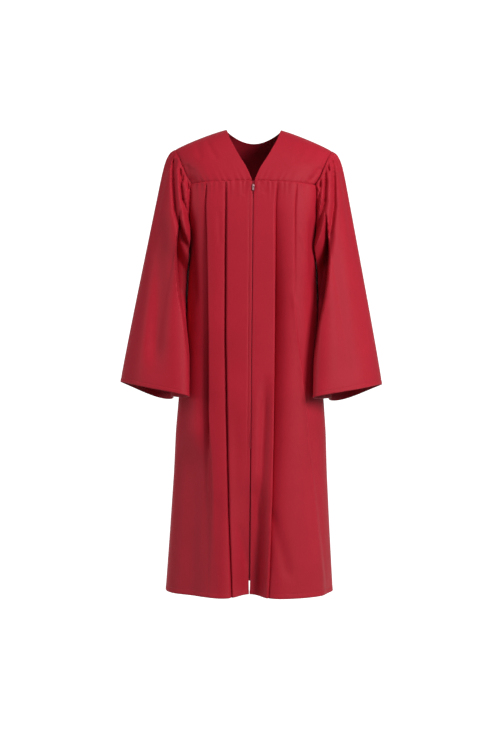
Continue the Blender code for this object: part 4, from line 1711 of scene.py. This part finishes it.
def panels(cut: Cut) -> list[PleatedPanel]:
    """The three pleated panels with their own pleat lines, depths and creases.

    Args:
        cut: the robe's shared sizes.

    Returns:
        The right front, the left front and the back.
    """
    right = PleatedPanel(
        cut, Panel.FRONT_RIGHT,
        lines=table(
            (-0.140, 0.0655, 0.1125),
            (-0.200, 0.0642, 0.1152),
            (-0.310, 0.0640, 0.1107),
            (-0.510, 0.0630, 0.1057),
            (-0.755, 0.0560, 0.1023),
            (-0.940, 0.0506, 0.1000),
            (-1.140, 0.0424, 0.1010),
        ),
        depths=table(
            (-0.139, 0.000, 0.000, 0.000, 0.000, 0.000),
            (-0.160, 0.008, 0.006, 0.003, 0.003, 0.000),
            (-0.225, 0.010, 0.005, 0.006, 0.006, 0.000),
            (-0.320, 0.012, 0.002, 0.007, 0.017, 0.000),
            (-0.700, 0.012, 0.001, 0.008, 0.025, 0.000),
            (-0.850, 0.011, 0.000, 0.006, 0.019, 0.010),
            (-1.140, 0.010, 0.000, 0.001, 0.010, 0.052),
        ),
        starts=table((-0.700, 0.0052), (-0.850, 0.0240), (-1.140, 0.0560)),
        pucker_phase=7.1,
        creases=table(
            (0.020, -0.140, 0.022, -0.175, 0.0012, 0.006),
            (0.009, -0.130, 0.008, -0.780, 0.0013, 0.0013),
            (0.036, -0.700, 0.030, -1.130, 0.0020, 0.012),
            (0.082, -0.215, 0.080, -0.290, 0.0012, 0.005),
            (0.146, -0.780, 0.152, -1.260, 0.0170, 0.0360),
            (0.150, -0.230, 0.142, -0.420, 0.0030, 0.008),
            (0.008, -1.060, 0.028, -0.960, 0.0025, 0.008),
            (0.080, -0.900, 0.084, -1.130, 0.0030, 0.013),
        ),
    )
    left = PleatedPanel(
        cut, Panel.FRONT_LEFT,
        lines=table(
            (-0.140, 0.0579, 0.1057),
            (-0.200, 0.0531, 0.1011),
            (-0.430, 0.0568, 0.1035),
            (-0.510, 0.0571, 0.1108),
            (-0.600, 0.0570, 0.1234),
            (-0.755, 0.0560, 0.1394),
            (-0.940, 0.0527, 0.1617),
            (-1.140, 0.0452, 0.1860),
        ),
        depths=table(
            (-0.139, 0.000, 0.000, 0.000, 0.000, 0.000),
            (-0.160, 0.004, 0.003, 0.003, 0.000, 0.000),
            (-0.300, 0.005, 0.002, 0.019, 0.001, 0.000),
            (-0.450, 0.006, 0.000, 0.034, 0.002, 0.000),
            (-0.600, 0.006, 0.000, 0.034, 0.004, 0.000),
            (-0.850, 0.004, 0.000, 0.020, 0.008, 0.010),
            (-1.140, 0.003, 0.000, 0.007, 0.012, 0.052),
        ),
        starts=table((-0.700, 0.0052), (-0.850, 0.0140), (-1.140, 0.0300)),
        creases=table(
            (0.026, -0.140, 0.027, -0.170, 0.0012, 0.006),
            (0.112, -0.262, 0.133, -0.316, -0.0014, 0.004),
            (0.106, -0.442, 0.123, -0.590, 0.0014, 0.006),
            (0.103, -0.420, 0.124, -0.605, -0.0026, 0.006),
            (0.124, -0.605, 0.186, -1.140, -0.0042, 0.008),
            (0.034, -0.640, 0.022, -1.140, 0.0120, 0.013),
            (0.019, -0.870, 0.013, -1.120, 0.0050, 0.012),
            (0.056, -0.930, 0.092, -1.080, 0.0050, 0.010),
            (0.010, -0.880, 0.022, -0.960, 0.0020, 0.007),
            (0.140, -0.230, 0.148, -0.400, 0.0030, 0.007),
        ),
    )
    back = PleatedPanel(
        cut, Panel.BACK,
        lines=table(
            (-0.140, 0.0450, 0.1000),
            (-0.400, 0.0460, 0.1010),
            (-0.740, 0.0520, 0.1130),
            (-1.140, 0.0600, 0.1300),
        ),
        depths=table(
            (-0.139, 0.000, 0.000, 0.000, 0.000, 0.000),
            (-0.160, 0.007, 0.006, 0.003, 0.003, 0.000),
            (-0.300, 0.011, 0.009, 0.006, 0.006, 0.000),
            (-0.740, 0.012, 0.009, 0.009, 0.010, 0.003),
            (-1.140, 0.009, 0.006, 0.012, 0.014, 0.016),
        ),
        starts=table((-0.500, 0.0052), (-0.850, 0.0180), (-1.140, 0.0400)),
        creases=table(
            (0.020, -0.200, 0.028, -0.520, 0.0020, 0.010),
            (0.075, -0.600, 0.082, -1.100, 0.0030, 0.013),
            (0.120, -0.260, 0.131, -0.420, 0.0018, 0.008),
        ),
        counts=(16, 3, 4, 4, 3, 13, 3, 4, 4, 3, 28),
    )
    return [right, left, back]


def main() -> None:
    """Builds the robe piece by piece round the frame, and sets up the studio."""
    logging.basicConfig(level=logging.INFO, format="%(message)s")
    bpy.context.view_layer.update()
    cut, wall = Cut(), ClothWall()
    cloth = ClothFinish().material()
    tape_finish = ClothFinish(name="zip_tape", deep=(0.24, 0.009, 0.02), pale=(0.29, 0.012, 0.026))
    tape = tape_finish.material()
    metal = MetalFinish().material()
    Studio().build()
    thread = ThreadFinish().material()

    def sew(name: str, lines: list[tuple[Array, Array]]) -> bpy.types.Object:
        """Makes one piece's stitches."""
        return dress(Stitching().build(name, lines), thread, "robe_cloth", ROBE)

    coil = dress(Zip(cut).build(), tape, "zip_tape", ROBE)
    cloths = panels(cut)
    for panel in cloths:
        piece = dress(panel.build(wall), cloth, "robe_cloth", ROBE, panel.node)
        stitches = sew(f"{panel.node}_stitches", panel.seam_lines(wall))
        if panel.panel is Panel.BACK:
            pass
        else:
            sewn_on = [stitches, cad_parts[f"zip_tape_{panel.panel.value}"]]
            sewn_on += [coil] if panel.panel is Panel.FRONT_LEFT else []
    yoke = Yoke(cut, {panel.panel: panel.top_edge() for panel in cloths})
    sleeve = BellSleeve(cut)
    back_yoke = dress(yoke.build_back(wall), cloth, "robe_cloth", ROBE, "yoke_back")
    for side in Side:
        front_yoke = yoke.build_front(side, wall)
        dress(front_yoke, cloth, "robe_cloth", ROBE, f"yoke_front_{side.word}")
        piece = dress(sleeve.build(side, wall), cloth, "robe_cloth", ROBE, f"sleeve_{side.word}")
        stitches = sew(f"sleeve_{side.word}_stitches", [sleeve.seam_line(side, wall)])
    finishes = {name: metal for name in ("zip_slider", "zip_pull", "zip_stop")}
    finishes.update({f"zip_tape_{side.word}": tape for side in Side})
    for name, finish in finishes.items():
        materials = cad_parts[name].data.materials
        materials.clear()
        materials.append(finish)


if __name__ == "__main__":
    main()
